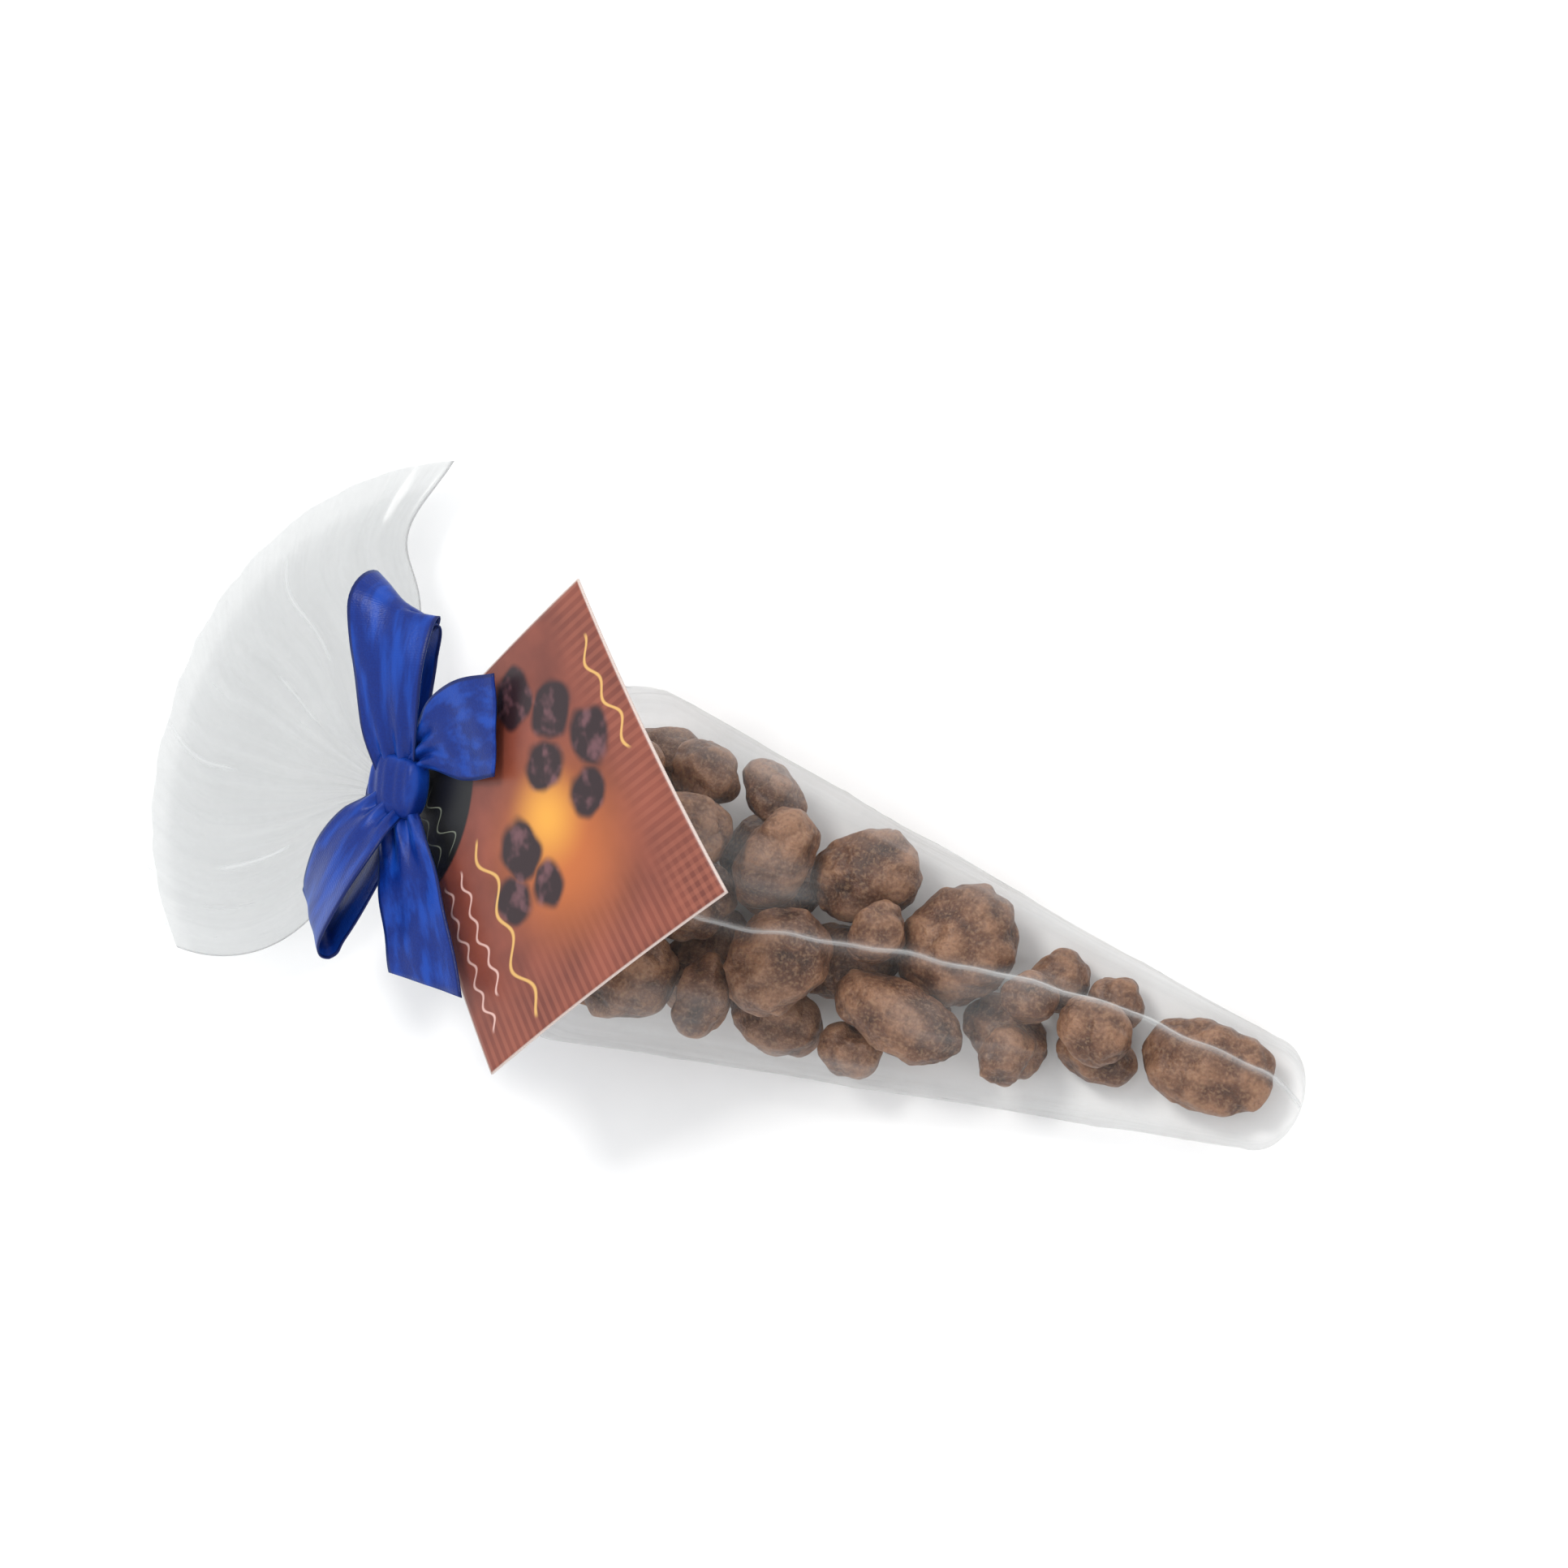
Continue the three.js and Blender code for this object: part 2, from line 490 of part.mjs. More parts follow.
const LOOP_DOWN = [
  { at: [-0.02, -0.22, 0.07], side: [1, -0.1, 0], width: 0.5 },
  { at: [-0.18, -0.58, 0.19], side: [0.9, -0.2, 0.4], width: 0.85 },
  { at: [-0.39, -1.12, 0.14], side: [0.8, -0.32, 0.5], width: 1.05 },
  { at: [-0.6, -1.7, -0.15], side: [0.68, -0.5, 0.5], width: 1.1 },
  { at: [-0.59, -1.84, -0.34], side: [0.66, -0.54, 0.5], width: 1.08 },
  { at: [-0.47, -1.72, -0.44], side: [0.66, -0.5, 0.55], width: 1 },
  { at: [-0.26, -1.12, -0.28], side: [0.72, -0.42, 0.55], width: 1 },
  { at: [-0.1, -0.56, -0.11], side: [0.88, -0.25, 0.35], width: 0.8 },
  { at: [-0.03, -0.19, -0.04], side: [1, -0.1, 0], width: 0.5 },
];
const TAIL_OVER_CARD = [
  { at: [0.05, 0.19, 0.07], side: [-0.3, 0.9, 0.1], width: 0.35 },
  { at: [0.21, 0.46, 0.2], side: [-0.5, 0.85, 0.1], width: 0.5 },
  { at: [0.56, 0.7, 0.42], side: [-0.6, 0.8, 0.1], width: 0.97 },
  { at: [0.91, 0.86, 0.62], side: [-0.56, 0.83, 0.05], width: 1.15 },
  { at: [1.34, 1.01, 0.88], side: [-0.44, 0.9, 0.05], width: 1.14 },
];
const TAIL_DOWN = [
  { at: [0.05, -0.19, 0.02], side: [0.9, 0.4, 0], width: 0.4 },
  { at: [0.31, -0.59, 0.11], side: [0.86, 0.48, 0.2], width: 0.68 },
  { at: [0.75, -1.22, 0.2], side: [0.8, 0.5, 0.33], width: 0.97 },
  { at: [1.29, -2, 0.31], side: [0.78, 0.48, 0.4], width: 1.1 },
];

function ribbonStrip(controls, stations, skew) {
  const route = new THREE.CatmullRomCurve3(
    controls.map((c) => new THREE.Vector3(...c.at).multiplyScalar(RIBBON_WIDTH)),
  );
  const sides = new THREE.CatmullRomCurve3(controls.map((c) => new THREE.Vector3(...c.side).setLength(c.width)));
  const points = [];
  const triangles = [];
  for (let i = 0; i <= stations; i += 1) {
    const share = i / stations;
    const tangent = route.getTangent(share);
    const side = sides.getPoint(share);
    const width = side.length() * RIBBON_WIDTH;
    side.addScaledVector(tangent, -side.dot(tangent)).setLength(width / 2);
    const normal = tangent.clone().cross(side).setLength(RIBBON_THICKNESS / 2);
    const slant = tangent.clone().multiplyScalar(skew * share ** 4);
    const centre = route.getPoint(share).add(KNOT_CENTRE);
    for (const [across, above] of [[1, 1], [-1, 1], [-1, -1], [1, -1]]) {
      points.push(
        centre.clone().addScaledVector(side, across).addScaledVector(slant, across).addScaledVector(normal, above),
      );
    }
    if (i > 0) triangles.push(...band(4 * (i - 1), 4 * i, 4));
  }
  const end = 4 * stations;
  triangles.push([0, 1, 2], [0, 2, 3], [end, end + 2, end + 1], [end, end + 3, end + 2]);
  return toManifold(geometryFrom(points, triangles));
}

function wrapSolid() {
  const profile = [
    [WRAP_INNER_RADIUS, -WRAP_WIDTH / 2],
    [WRAP_OUTER_RADIUS, -WRAP_WIDTH / 2],
    [WRAP_OUTER_RADIUS, WRAP_WIDTH / 2],
    [WRAP_INNER_RADIUS, WRAP_WIDTH / 2],
    [WRAP_INNER_RADIUS, -WRAP_WIDTH / 2],
  ].map(([radius, along]) => new THREE.Vector2(radius, along));
  const geometry = new THREE.LatheGeometry(profile, ROUND_SEGMENTS);
  geometry.rotateZ(-Math.PI / 2);
  geometry.translate(HOLE_CENTRE.x + STEM_DIAMETER / 2 - WRAP_WIDTH / 2, 0, NECK_HEIGHT);
  return toManifold(geometry);
}

function stemSolid() {
  const foot = NECK_HEIGHT + Math.sqrt(WRAP_INNER_RADIUS ** 2 - HOLE_CENTRE.y ** 2);
  const height = KNOT_CENTRE.z - foot;
  const middle = HOLE_CENTRE.clone().setZ(foot + height / 2);
  return toManifold(uprightCylinder(STEM_DIAMETER / 2, height, middle));
}

function knotSolid() {
  const rounding = KNOT_HEIGHT / 3;
  const halfWidth = KNOT_WIDTH / 2 - rounding;
  const halfLength = KNOT_LENGTH / 2 - rounding;
  const outline = new THREE.Shape();
  outline.moveTo(-halfWidth, -halfLength);
  outline.lineTo(halfWidth, -halfLength);
  outline.lineTo(halfWidth, halfLength);
  outline.lineTo(-halfWidth, halfLength);
  const geometry = new THREE.ExtrudeGeometry(outline, {
    depth: KNOT_HEIGHT - 2 * rounding,
    bevelEnabled: true,
    bevelThickness: rounding,
    bevelSize: rounding,
    bevelSegments: 2,
    steps: 1,
  });
  geometry.translate(0, 0, rounding - KNOT_HEIGHT / 2);
  const along = new THREE.Vector3(Math.cos(KNOT_SLOPE), 0, Math.sin(KNOT_SLOPE));
  const across = new THREE.Vector3(0, 1, 0).applyAxisAngle(along, CARD_ROLL);
  const axes = new THREE.Matrix4().makeBasis(along, across, along.clone().cross(across));
  geometry.applyMatrix4(axes);
  geometry.translate(KNOT_CENTRE.x, KNOT_CENTRE.y, KNOT_CENTRE.z);
  return toManifold(geometry);
}

function ribbonGeometry() {
  const pieces = [
    wrapSolid(),
    stemSolid(),
    knotSolid(),
    ribbonStrip(LOOP_UP, LOOP_STATIONS, 0),
    ribbonStrip(LOOP_DOWN, LOOP_STATIONS, 0),
    ribbonStrip(TAIL_OVER_CARD, TAIL_STATIONS, TAIL_OVER_CARD_SKEW),
    ribbonStrip(TAIL_DOWN, TAIL_STATIONS, TAIL_DOWN_SKEW),
  ];
  const neck = new THREE.CylinderGeometry(WRAP_INNER_RADIUS, WRAP_INNER_RADIUS, 4 * WRAP_WIDTH, ROUND_SEGMENTS);
  neck.rotateZ(-Math.PI / 2);
  neck.translate(NECK_LENGTH / 2, 0, NECK_HEIGHT);
  const tied = pieces.reduce((whole, piece) => whole.add(piece));
  return fromManifold(tied.subtract(toManifold(neck)));
}

// Sweets: lumpy ovals, settled against each other and the film, with flats where they press together

const FILL_START = NECK_END + SWEET_START;
const FILM_MARGIN = FILM_THICKNESS + CLEARANCE;

function roomAt(x) {
  const margin = FILM_MARGIN * steepness(Math.max(x, FILL_START)) + pleatDepth(x);
  return innerSection(Math.min(x, TIP_END), margin);
}

// How far a point is inside the room, in millimetres, measured up and down and from the tip.
function depthInside(point) {
  const room = roomAt(point.x);
  const share = 1 - (point.y / Math.max(room.half, CLEARANCE)) ** 2;
  if (share <= 0 || point.x > TIP_END - 2 * FILM_MARGIN) return room.half - Math.abs(point.y) - FILM_MARGIN;
  const lift = share ** (room.crest / 2);
  const above = room.centre + room.up * lift - point.z;
  const below = point.z - Math.max(room.bottom, room.centre - room.down * lift);
  return Math.min(above, below, point.x - NECK_END, TIP_END - 2 * FILM_MARGIN - point.x);
}

function layOut(sweet) {
  const x = lerp(FILL_START, TIP_END, sweet.along);
  const section = bodySection(x);
  const turn = new THREE.Euler(0, -THREE.MathUtils.degToRad(sweet.tilt), THREE.MathUtils.degToRad(sweet.heading), "ZYX");
  return {
    centre: new THREE.Vector3(x, sweet.across * section.half, sweet.up * (section.centre + section.up)),
    half: new THREE.Vector3(...sweet.size).multiplyScalar(SWEET_LENGTH / 2),
    turn: new THREE.Quaternion().setFromEuler(turn),
  };
}

// Reach of an oval from its centre towards a unit direction, and the point that touches there.
function support(sweet, direction) {
  const local = direction.clone().applyQuaternion(sweet.turn.clone().invert());
  const stretched = local.multiply(sweet.half);
  const reach = stretched.length();
  const touch = stretched.divideScalar(reach).multiply(sweet.half).applyQuaternion(sweet.turn);
  return { reach, touch };
}

// Widest gap between two ovals over all directions, below zero where they overlap.
function separation(first, second) {
  const between = second.centre.clone().sub(first.centre);
  const direction = between.clone().normalize();
  let best = { gap: -Infinity, direction: direction.clone(), reach: 0 };
  for (let step = 0; step < 24; step += 1) {
    const near = support(first, direction);
    const far = support(second, direction);
    const gap = direction.dot(between) - near.reach - far.reach;
    if (gap > best.gap) best = { gap, direction: direction.clone(), reach: near.reach };
    const pull = between.clone().sub(near.touch).sub(far.touch);
    pull.addScaledVector(direction, -pull.dot(direction));
    direction.addScaledVector(pull, 0.5 / between.length()).normalize();
  }
  return best;
}

const PROBES = [];
for (let i = 0; i < 40; i += 1) {
  const height = 1 - (2 * (i + 0.5)) / 40;
  const ring = Math.sqrt(1 - height ** 2);
  const turn = i * Math.PI * (3 - Math.sqrt(5));
  PROBES.push(new THREE.Vector3(ring * Math.cos(turn), ring * Math.sin(turn), height));
}

function keepInside(sweet) {
  const push = new THREE.Vector3();
  for (const probe of PROBES) {
    const point = sweet.centre.clone().add(support(sweet, probe).touch);
    const depth = depthInside(point);
    if (depth < 0) push.addScaledVector(probe, Math.max(depth, -1.5));
  }
  sweet.centre.addScaledVector(push, 0.25);
}

const SETTLING_ROUNDS = 90;
const PRESSED = 0.5; // how far neighbours may press into each other and be flattened
const SINK_STEP = 0.12;

function settle(sweets) {
  for (let round = 0; round < SETTLING_ROUNDS; round += 1) {
    sweets.forEach((sweet) => {
      sweet.centre.z -= SINK_STEP;
    });
    for (let i = 0; i < sweets.length; i += 1) {
      for (let j = i + 1; j < sweets.length; j += 1) {
        const reach = sweets[i].half.x + sweets[j].half.x;
        if (sweets[i].centre.distanceTo(sweets[j].centre) < reach) {
          const { gap, direction } = separation(sweets[i], sweets[j]);
          const overlap = -gap - PRESSED;
          if (overlap > 0) {
            sweets[i].centre.addScaledVector(direction, -0.45 * overlap);
            sweets[j].centre.addScaledVector(direction, 0.45 * overlap);
          }
        }
      }
    }
    sweets.forEach(keepInside);
  }
  return sweets;
}

function flatsFor(sweet, others) {
  const flats = [];
  for (const other of others) {
    const reach = sweet.half.x + other.half.x + 3;
    if (other !== sweet && sweet.centre.distanceTo(other.centre) < reach) {
      const { gap, direction, reach: own } = separation(sweet, other);
      flats.push({ direction, distance: own + gap / 2 - CLEARANCE / 2 });
    }
  }
  return flats;
}

// The uneven coating: a boxy oval with a few soft bumps that differ from sweet to sweet.
function coatedReach(sweet, local, phase) {
  const boxy = 2.5;
  const shape = ["x", "y", "z"].reduce((sum, axis) => sum + Math.abs(local[axis] / sweet.half[axis]) ** boxy, 0);
  const oval = ["x", "y", "z"].reduce((sum, axis) => sum + (local[axis] / sweet.half[axis]) ** 2, 0);
  const base = 0.5 * shape ** (-1 / boxy) + 0.5 * oval ** -0.5;
  const bumps = Math.sin(5 * local.x + phase) + Math.sin(6 * local.y + 2 * phase) + Math.sin(5 * local.z + 3 * phase);
  return base * (1 - SWEET_LUMPINESS + (SWEET_LUMPINESS * bumps) / 3);
}

function insideRoom(sweet, direction, reach) {
  let low = 0;
  let high = reach;
  if (depthInside(sweet.centre.clone().addScaledVector(direction, high)) >= 0) return reach;
  for (let step = 0; step < 18; step += 1) {
    const middle = (low + high) / 2;
    if (depthInside(sweet.centre.clone().addScaledVector(direction, middle)) >= 0) low = middle;
    else high = middle;
  }
  return low;
}

function sweetGeometry(sweet, others, index) {
  const flats = flatsFor(sweet, others);
  const goldenTurn = Math.PI * (3 - Math.sqrt(5));
  const phase = (index + 1) * goldenTurn;
  const pointAt = (latitude, longitude) => {
    const local = new THREE.Vector3(
      Math.sin(latitude),
      Math.cos(latitude) * Math.cos(longitude),
      Math.cos(latitude) * Math.sin(longitude),
    );
    const direction = local.clone().applyQuaternion(sweet.turn);
    let reach = coatedReach(sweet, local, phase);
    for (const flat of flats) {
      const facing = flat.direction.dot(direction);
      if (facing > 0) reach = Math.min(reach, flat.distance / facing);
    }
    return sweet.centre.clone().addScaledVector(direction, insideRoom(sweet, direction, reach));
  };
  const points = [pointAt(-Math.PI / 2, 0)];
  const triangles = [...cap(0, 1, SWEET_COLUMNS)];
  for (let ring = 1; ring <= SWEET_RINGS; ring += 1) {
    const latitude = Math.PI * (ring / (SWEET_RINGS + 1) - 0.5);
    for (let column = 0; column < SWEET_COLUMNS; column += 1) {
      points.push(pointAt(latitude, (2 * Math.PI * column) / SWEET_COLUMNS));
    }
    const start = 1 + (ring - 1) * SWEET_COLUMNS;
    if (ring > 1) triangles.push(...band(start - SWEET_COLUMNS, start, SWEET_COLUMNS));
  }
  points.push(pointAt(Math.PI / 2, 0));
  const last = 1 + (SWEET_RINGS - 1) * SWEET_COLUMNS;
  triangles.push(...cap(points.length - 1, last, SWEET_COLUMNS).map(([a, b, c]) => [a, c, b]));
  return geometryFrom(points, triangles);
}

// Materials and the finished group

function piece(name, geometry, colour, roughness, extra = {}) {
  const material = new THREE.MeshStandardMaterial({ color: colour, roughness, metalness: 0, ...extra });
  const mesh = new THREE.Mesh(geometry, material);
  mesh.name = name;
  return mesh;
}

const bag = new THREE.Group();
bag.add(piece("bag_film", filmGeometry(), FILM_COLOUR, 0.1, { transparent: true, opacity: 0.3 }));
bag.add(piece("tag_card", cardGeometry(), CARD_COLOUR, 0.45));
bag.add(piece("ribbon_bow", ribbonGeometry(), RIBBON_COLOUR, 0.35));
const settled = settle(SWEETS.map(layOut));
settled.forEach((sweet, index) => {
  const colour = CHOCOLATE_COLOURS[index % CHOCOLATE_COLOURS.length];
  const name = `coated_sweet_${String(index + 1).padStart(2, "0")}`;
  bag.add(piece(name, sweetGeometry(sweet, settled, index), colour, 0.6));
});

// The origin is the middle of the whole object's footprint, on the table.
const extent = new THREE.Box3().setFromObject(bag, true);
bag.position.set(-(extent.min.x + extent.max.x) / 2, -(extent.min.y + extent.max.y) / 2, -extent.min.z);

const candyBag = new THREE.Group();
candyBag.add(bag);

export default candyBag;
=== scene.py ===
# A clear film cone of chocolate coated sweets, tied with a satin ribbon that holds a square card.
# The shapes are worked out in millimetres in the bag's own terms: x runs from the tied neck to the
# tip, y across and z up from the table. PLACE and MM take them to the frame.
import json
import math

import bmesh
import bpy
from mathutils import Matrix, Vector, noise


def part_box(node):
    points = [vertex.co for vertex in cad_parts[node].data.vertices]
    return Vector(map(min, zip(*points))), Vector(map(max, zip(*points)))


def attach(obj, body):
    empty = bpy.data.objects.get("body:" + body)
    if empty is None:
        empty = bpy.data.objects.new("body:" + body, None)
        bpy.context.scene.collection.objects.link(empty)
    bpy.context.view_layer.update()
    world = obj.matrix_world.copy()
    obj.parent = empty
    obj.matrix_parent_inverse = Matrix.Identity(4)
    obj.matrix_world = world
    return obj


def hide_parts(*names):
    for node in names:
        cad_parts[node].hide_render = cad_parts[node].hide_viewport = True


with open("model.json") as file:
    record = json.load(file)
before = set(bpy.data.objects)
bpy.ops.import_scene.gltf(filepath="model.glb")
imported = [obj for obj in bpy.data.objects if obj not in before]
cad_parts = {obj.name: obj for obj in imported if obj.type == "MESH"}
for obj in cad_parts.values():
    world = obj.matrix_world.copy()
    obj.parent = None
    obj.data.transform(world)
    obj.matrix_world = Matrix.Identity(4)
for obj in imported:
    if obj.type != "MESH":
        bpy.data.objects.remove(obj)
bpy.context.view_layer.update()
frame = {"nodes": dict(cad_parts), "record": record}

MM = 0.001

# Sizes of the bag, in millimetres, as in the frame
BAG_WIDTH = 67
BAG_HEIGHT = 44
CONE_LENGTH = 134
TIP_WIDTH = 20
TIP_HEIGHT = 14
TIP_ROUNDING = 8
SHOULDER_LENGTH = 34
NECK_LENGTH = 14
NECK_RADIUS = 4.5
NECK_HEIGHT = 22
FAN_RADIUS = 56
FAN_CORNER_REACH = 8
FAN_UPPER_ANGLE = math.radians(80)
FAN_LOWER_ANGLE = math.radians(50)
FAN_ROOT_ANGLE = math.radians(86)
FAN_HOOK = math.radians(9.5)
FAN_HOOK_PLACE = 0.74
FAN_HOOK_WIDTH = 0.2
FAN_DROOP = 13
MOUTH_GAP = 7
SEAM_HEIGHT = 0.7
SEAM_WIDTH = 0.62
SEAM_WAVE = 0.45  # how far the seam wanders to the sides

RIBBON_WIDTH = 16
RIBBON_THICKNESS = 0.3

CARD_SIDE = 63.5
CARD_THICKNESS = 0.45
CARD_HOLE_INSET = 3.6
CARD_BEND = 5.2
CARD_SLOPE = math.radians(22)
CARD_ROLL = math.radians(12)

NECK_END = NECK_LENGTH
WIDEST = NECK_END + SHOULDER_LENGTH
TIP_END = WIDEST + CONE_LENGTH
TIP_START = TIP_END - TIP_ROUNDING

# The bag's own terms start at the neck on the table; the frame gives the tip and the bag's axis.
film_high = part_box("bag_film")[1]
rest_at = frame["record"]["mounts"][0]["pos_m"]
PLACE = Vector((film_high.x / MM - TIP_END, rest_at[1] / MM, 0))


def lerp(a, b, share):
    return a + (b - a) * share


def clamp(value, low, high):
    return max(low, min(high, value))


def smoothstep(value, low, high):
    share = clamp((value - low) / (high - low), 0, 1)
    return share * share * (3 - 2 * share)


# Mesh helpers


def make_object(name, points, faces, material, node):
    """A smooth mesh from points in the bag's own terms, which stands for a node of the frame."""
    mesh = bpy.data.meshes.new(name)
    mesh.from_pydata([tuple((Vector(p) + PLACE) * MM) for p in points], [], faces)
    mesh.polygons.foreach_set("use_smooth", [True] * len(mesh.polygons))
    mesh.update()
    obj = bpy.data.objects.new(name, mesh)
    bpy.context.scene.collection.objects.link(obj)
    obj.data.materials.append(material)
    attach(obj, "root")
    if node:
        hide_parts(node)
    return obj


def apply_modifiers(obj):
    depsgraph = bpy.context.evaluated_depsgraph_get()
    mesh = bpy.data.meshes.new_from_object(obj.evaluated_get(depsgraph))
    old = obj.data
    obj.modifiers.clear()
    obj.data = mesh
    bpy.data.meshes.remove(old)


def grid_faces(rows, columns, closed):
    faces = []
    last = columns if closed else columns - 1
    for i in range(rows - 1):
        for j in range(last):
            k = (j + 1) % columns
            faces.append((i * columns + j, i * columns + k, (i + 1) * columns + k, (i + 1) * columns + j))
    return faces


# Material helpers


def new_material(name):
    material = bpy.data.materials.new(name)
    material.use_nodes = True
    tree = material.node_tree
    tree.nodes.clear()
    return material, tree


def add(tree, kind, **settings):
    node = tree.nodes.new(kind)
    for name, value in settings.items():
        setattr(node, name, value)
    return node


def math_node(tree, operation, first, second=None, third=None, clamped=False):
    node = add(tree, "ShaderNodeMath", operation=operation, use_clamp=clamped)
    for socket, value in zip(node.inputs, (first, second, third)):
        if value is None:
            continue
        if isinstance(value, (int, float)):
            socket.default_value = value
        else:
            tree.links.new(value, socket)
    return node.outputs[0]


def noise_node(tree, vector, scale, detail=3.0, roughness=0.5):
    node = add(tree, "ShaderNodeTexNoise")
    node.inputs["Scale"].default_value = scale
    node.inputs["Detail"].default_value = detail
    node.inputs["Roughness"].default_value = roughness
    if vector is not None:
        tree.links.new(vector, node.inputs["Vector"])
    return node.outputs["Fac"]


def ramp_node(tree, value, stops):
    node = add(tree, "ShaderNodeValToRGB")
    elements = node.color_ramp.elements
    while len(elements) < len(stops):
        elements.new(0.5)
    for element, (position, colour) in zip(elements, stops):
        element.position = position
        element.color = (*colour, 1) if len(colour) == 3 else colour
    tree.links.new(value, node.inputs["Fac"])
    return node.outputs["Color"]


def mix_colour(tree, share, first, second, blend="MIX"):
    node = add(tree, "ShaderNodeMix", data_type="RGBA", blend_type=blend)
    for socket, value in ((node.inputs[0], share), (node.inputs[6], first), (node.inputs[7], second)):
        if isinstance(value, (int, float)):
            socket.default_value = value
        elif isinstance(value, tuple):
            socket.default_value = (*value, 1)
        else:
            tree.links.new(value, socket)
    return node.outputs[2]


def above_node(tree, value, floor, gain):
    """How far a value lies above a floor, times a gain."""
    return math_node(tree, "MULTIPLY", math_node(tree, "SUBTRACT", value, floor, clamped=True), gain)


def bump_node(tree, height, strength, distance):
    node = add(tree, "ShaderNodeBump")
    node.inputs["Strength"].default_value = strength
    node.inputs["Distance"].default_value = distance
    tree.links.new(height, node.inputs["Height"])
    return node.outputs["Normal"]


def finish_material(tree, shader):
    output = add(tree, "ShaderNodeOutputMaterial")
    tree.links.new(shader, output.inputs["Surface"])


# Camera, floor and lights

FLOOR_SIZE = 6  # metres
FLOOR_SINK = 0.0004
LIGHTS = (  # name, place and size in metres, power in watts, colour
    ("key", (-0.2, 0.3, 0.9), (0.25, 0.2), 3.4, (1.0, 0.98, 0.95)),
    ("fill", (0.4, -0.7, 0.6), (0.6, 0.4), 0.6, (1, 1, 1)),
    ("strip", (0.1, 0.9, 0.35), (0.9, 0.08), 1.2, (1, 1, 1)),
)
LIGHT_TARGET = (0, 0, 0.02)
SURROUND_COLOUR = (0.97, 0.985, 1.0, 1)
SURROUND_STRENGTH = 1.12

VIEW_TILT = math.radians(22)  # off straight down, towards the tip
VIEW_TURN = math.radians(18.75)  # the bag's length runs down to the right by this much
VIEW_DISTANCE = 750
PIXELS_ACROSS = 1932
PIXELS_PER_MM = 6.9  # at the height that the camera looks at
SENSOR = 36
LOOK_AT = Vector((78.8, 24.4, 25))


def make_camera():
    back = Vector((math.sin(VIEW_TILT), 0, math.cos(VIEW_TILT)))
    along = Vector((math.cos(VIEW_TILT), 0, -math.sin(VIEW_TILT)))
    across = Vector((0, 1, 0))
    right = math.cos(VIEW_TURN) * along + math.sin(VIEW_TURN) * across
    up = math.cos(VIEW_TURN) * across - math.sin(VIEW_TURN) * along
    data = bpy.data.cameras.new("camera")
    data.sensor_width = SENSOR
    data.lens = SENSOR * PIXELS_PER_MM * VIEW_DISTANCE / PIXELS_ACROSS
    data.clip_start = 0.05
    data.clip_end = 10
    camera = bpy.data.objects.new("camera", data)
    bpy.context.scene.collection.objects.link(camera)
    turn = Matrix((right, up, back)).transposed().to_4x4()
    eye = (LOOK_AT + PLACE + back * VIEW_DISTANCE) * MM
    camera.matrix_world = Matrix.Translation(eye) @ turn
    bpy.context.scene.camera = camera


def make_floor():
    material, tree = new_material("pale_floor")
    shader = add(tree, "ShaderNodeBsdfPrincipled")
    grain = noise_node(tree, add(tree, "ShaderNodeTexCoord").outputs["Object"], 60)
    colour = ramp_node(tree, grain, [(0.3, (0.9, 0.9, 0.9)), (0.7, (0.92, 0.92, 0.92))])
    tree.links.new(colour, shader.inputs["Base Color"])
    shader.inputs["Roughness"].default_value = 0.9
    shader.inputs["Specular IOR Level"].default_value = 0.1
    finish_material(tree, shader.outputs[0])
    bpy.ops.mesh.primitive_plane_add(size=FLOOR_SIZE, location=(0, 0, -FLOOR_SINK))
    floor = bpy.context.object
    floor.name = "floor"
    floor.data.materials.append(material)


def area_light(name, place, size, power, colour):
    data = bpy.data.lights.new(name, "AREA")
    data.shape = "RECTANGLE"
    data.size, data.size_y = size
    data.energy = power
    data.color = colour
    light = bpy.data.objects.new(name, data)
    bpy.context.scene.collection.objects.link(light)
    light.location = place
    light.rotation_euler = (Vector(place) - Vector(LIGHT_TARGET)).to_track_quat("Z", "Y").to_euler()


def make_lights():
    world = bpy.data.worlds.new("studio")
    bpy.context.scene.world = world
    world.use_nodes = True
    background = world.node_tree.nodes["Background"]
    background.inputs["Color"].default_value = SURROUND_COLOUR
    background.inputs["Strength"].default_value = SURROUND_STRENGTH
    for light in LIGHTS:
        area_light(*light)


def set_view():
    scene = bpy.context.scene
    scene.view_settings.view_transform = "Standard"
    scene.cycles.transparent_max_bounces = 48
    scene.cycles.max_bounces = 12


# Film

FILM_COLUMNS = 240
SEAM_COLUMNS = 5  # columns on each side of the seam's crest that make its narrow ridge
TIP_RINGS = 14
CONE_RINGS = 66
SHOULDER_RINGS = 34
NECK_RINGS = 5
FAN_RINGS = 54
BODY_CREST = 1.3  # above 1 the sides run out to a thin edge
BODY_CENTRE = 0.38  # height of the sides, as a share of the bag's height
BODY_FLATTENING = 1.2  # above 1 the underside is pressed flat on the table
NECK_CENTRE = 0.5
TIP_FULLNESS = 2.4  # 2 would round the tip off evenly; more keeps it wide for longer

PLEATS_AROUND = 24
PLEAT_SEED = 3
PLEAT_WANDER = 0.35  # how far the pleats stray from an even pitch
PLEAT_WANDER_PITCH = 2.1
PLEAT_FOLD_SHARE = 0.8
FINE_PLEATS_AROUND = 61
FINE_PLEAT_SHARE = 0.2
NECK_PLEAT_DEPTH = 0.5
SHOULDER_PLEAT_DEPTH = 0.9
SHOULDER_PLEATS_FULL = 0.3  # shares of the shoulder's length where pleats are deepest and fade
SHOULDER_PLEATS_FADE = (0.35, 1.1)
FAN_PLEAT_DEPTH = 0.6

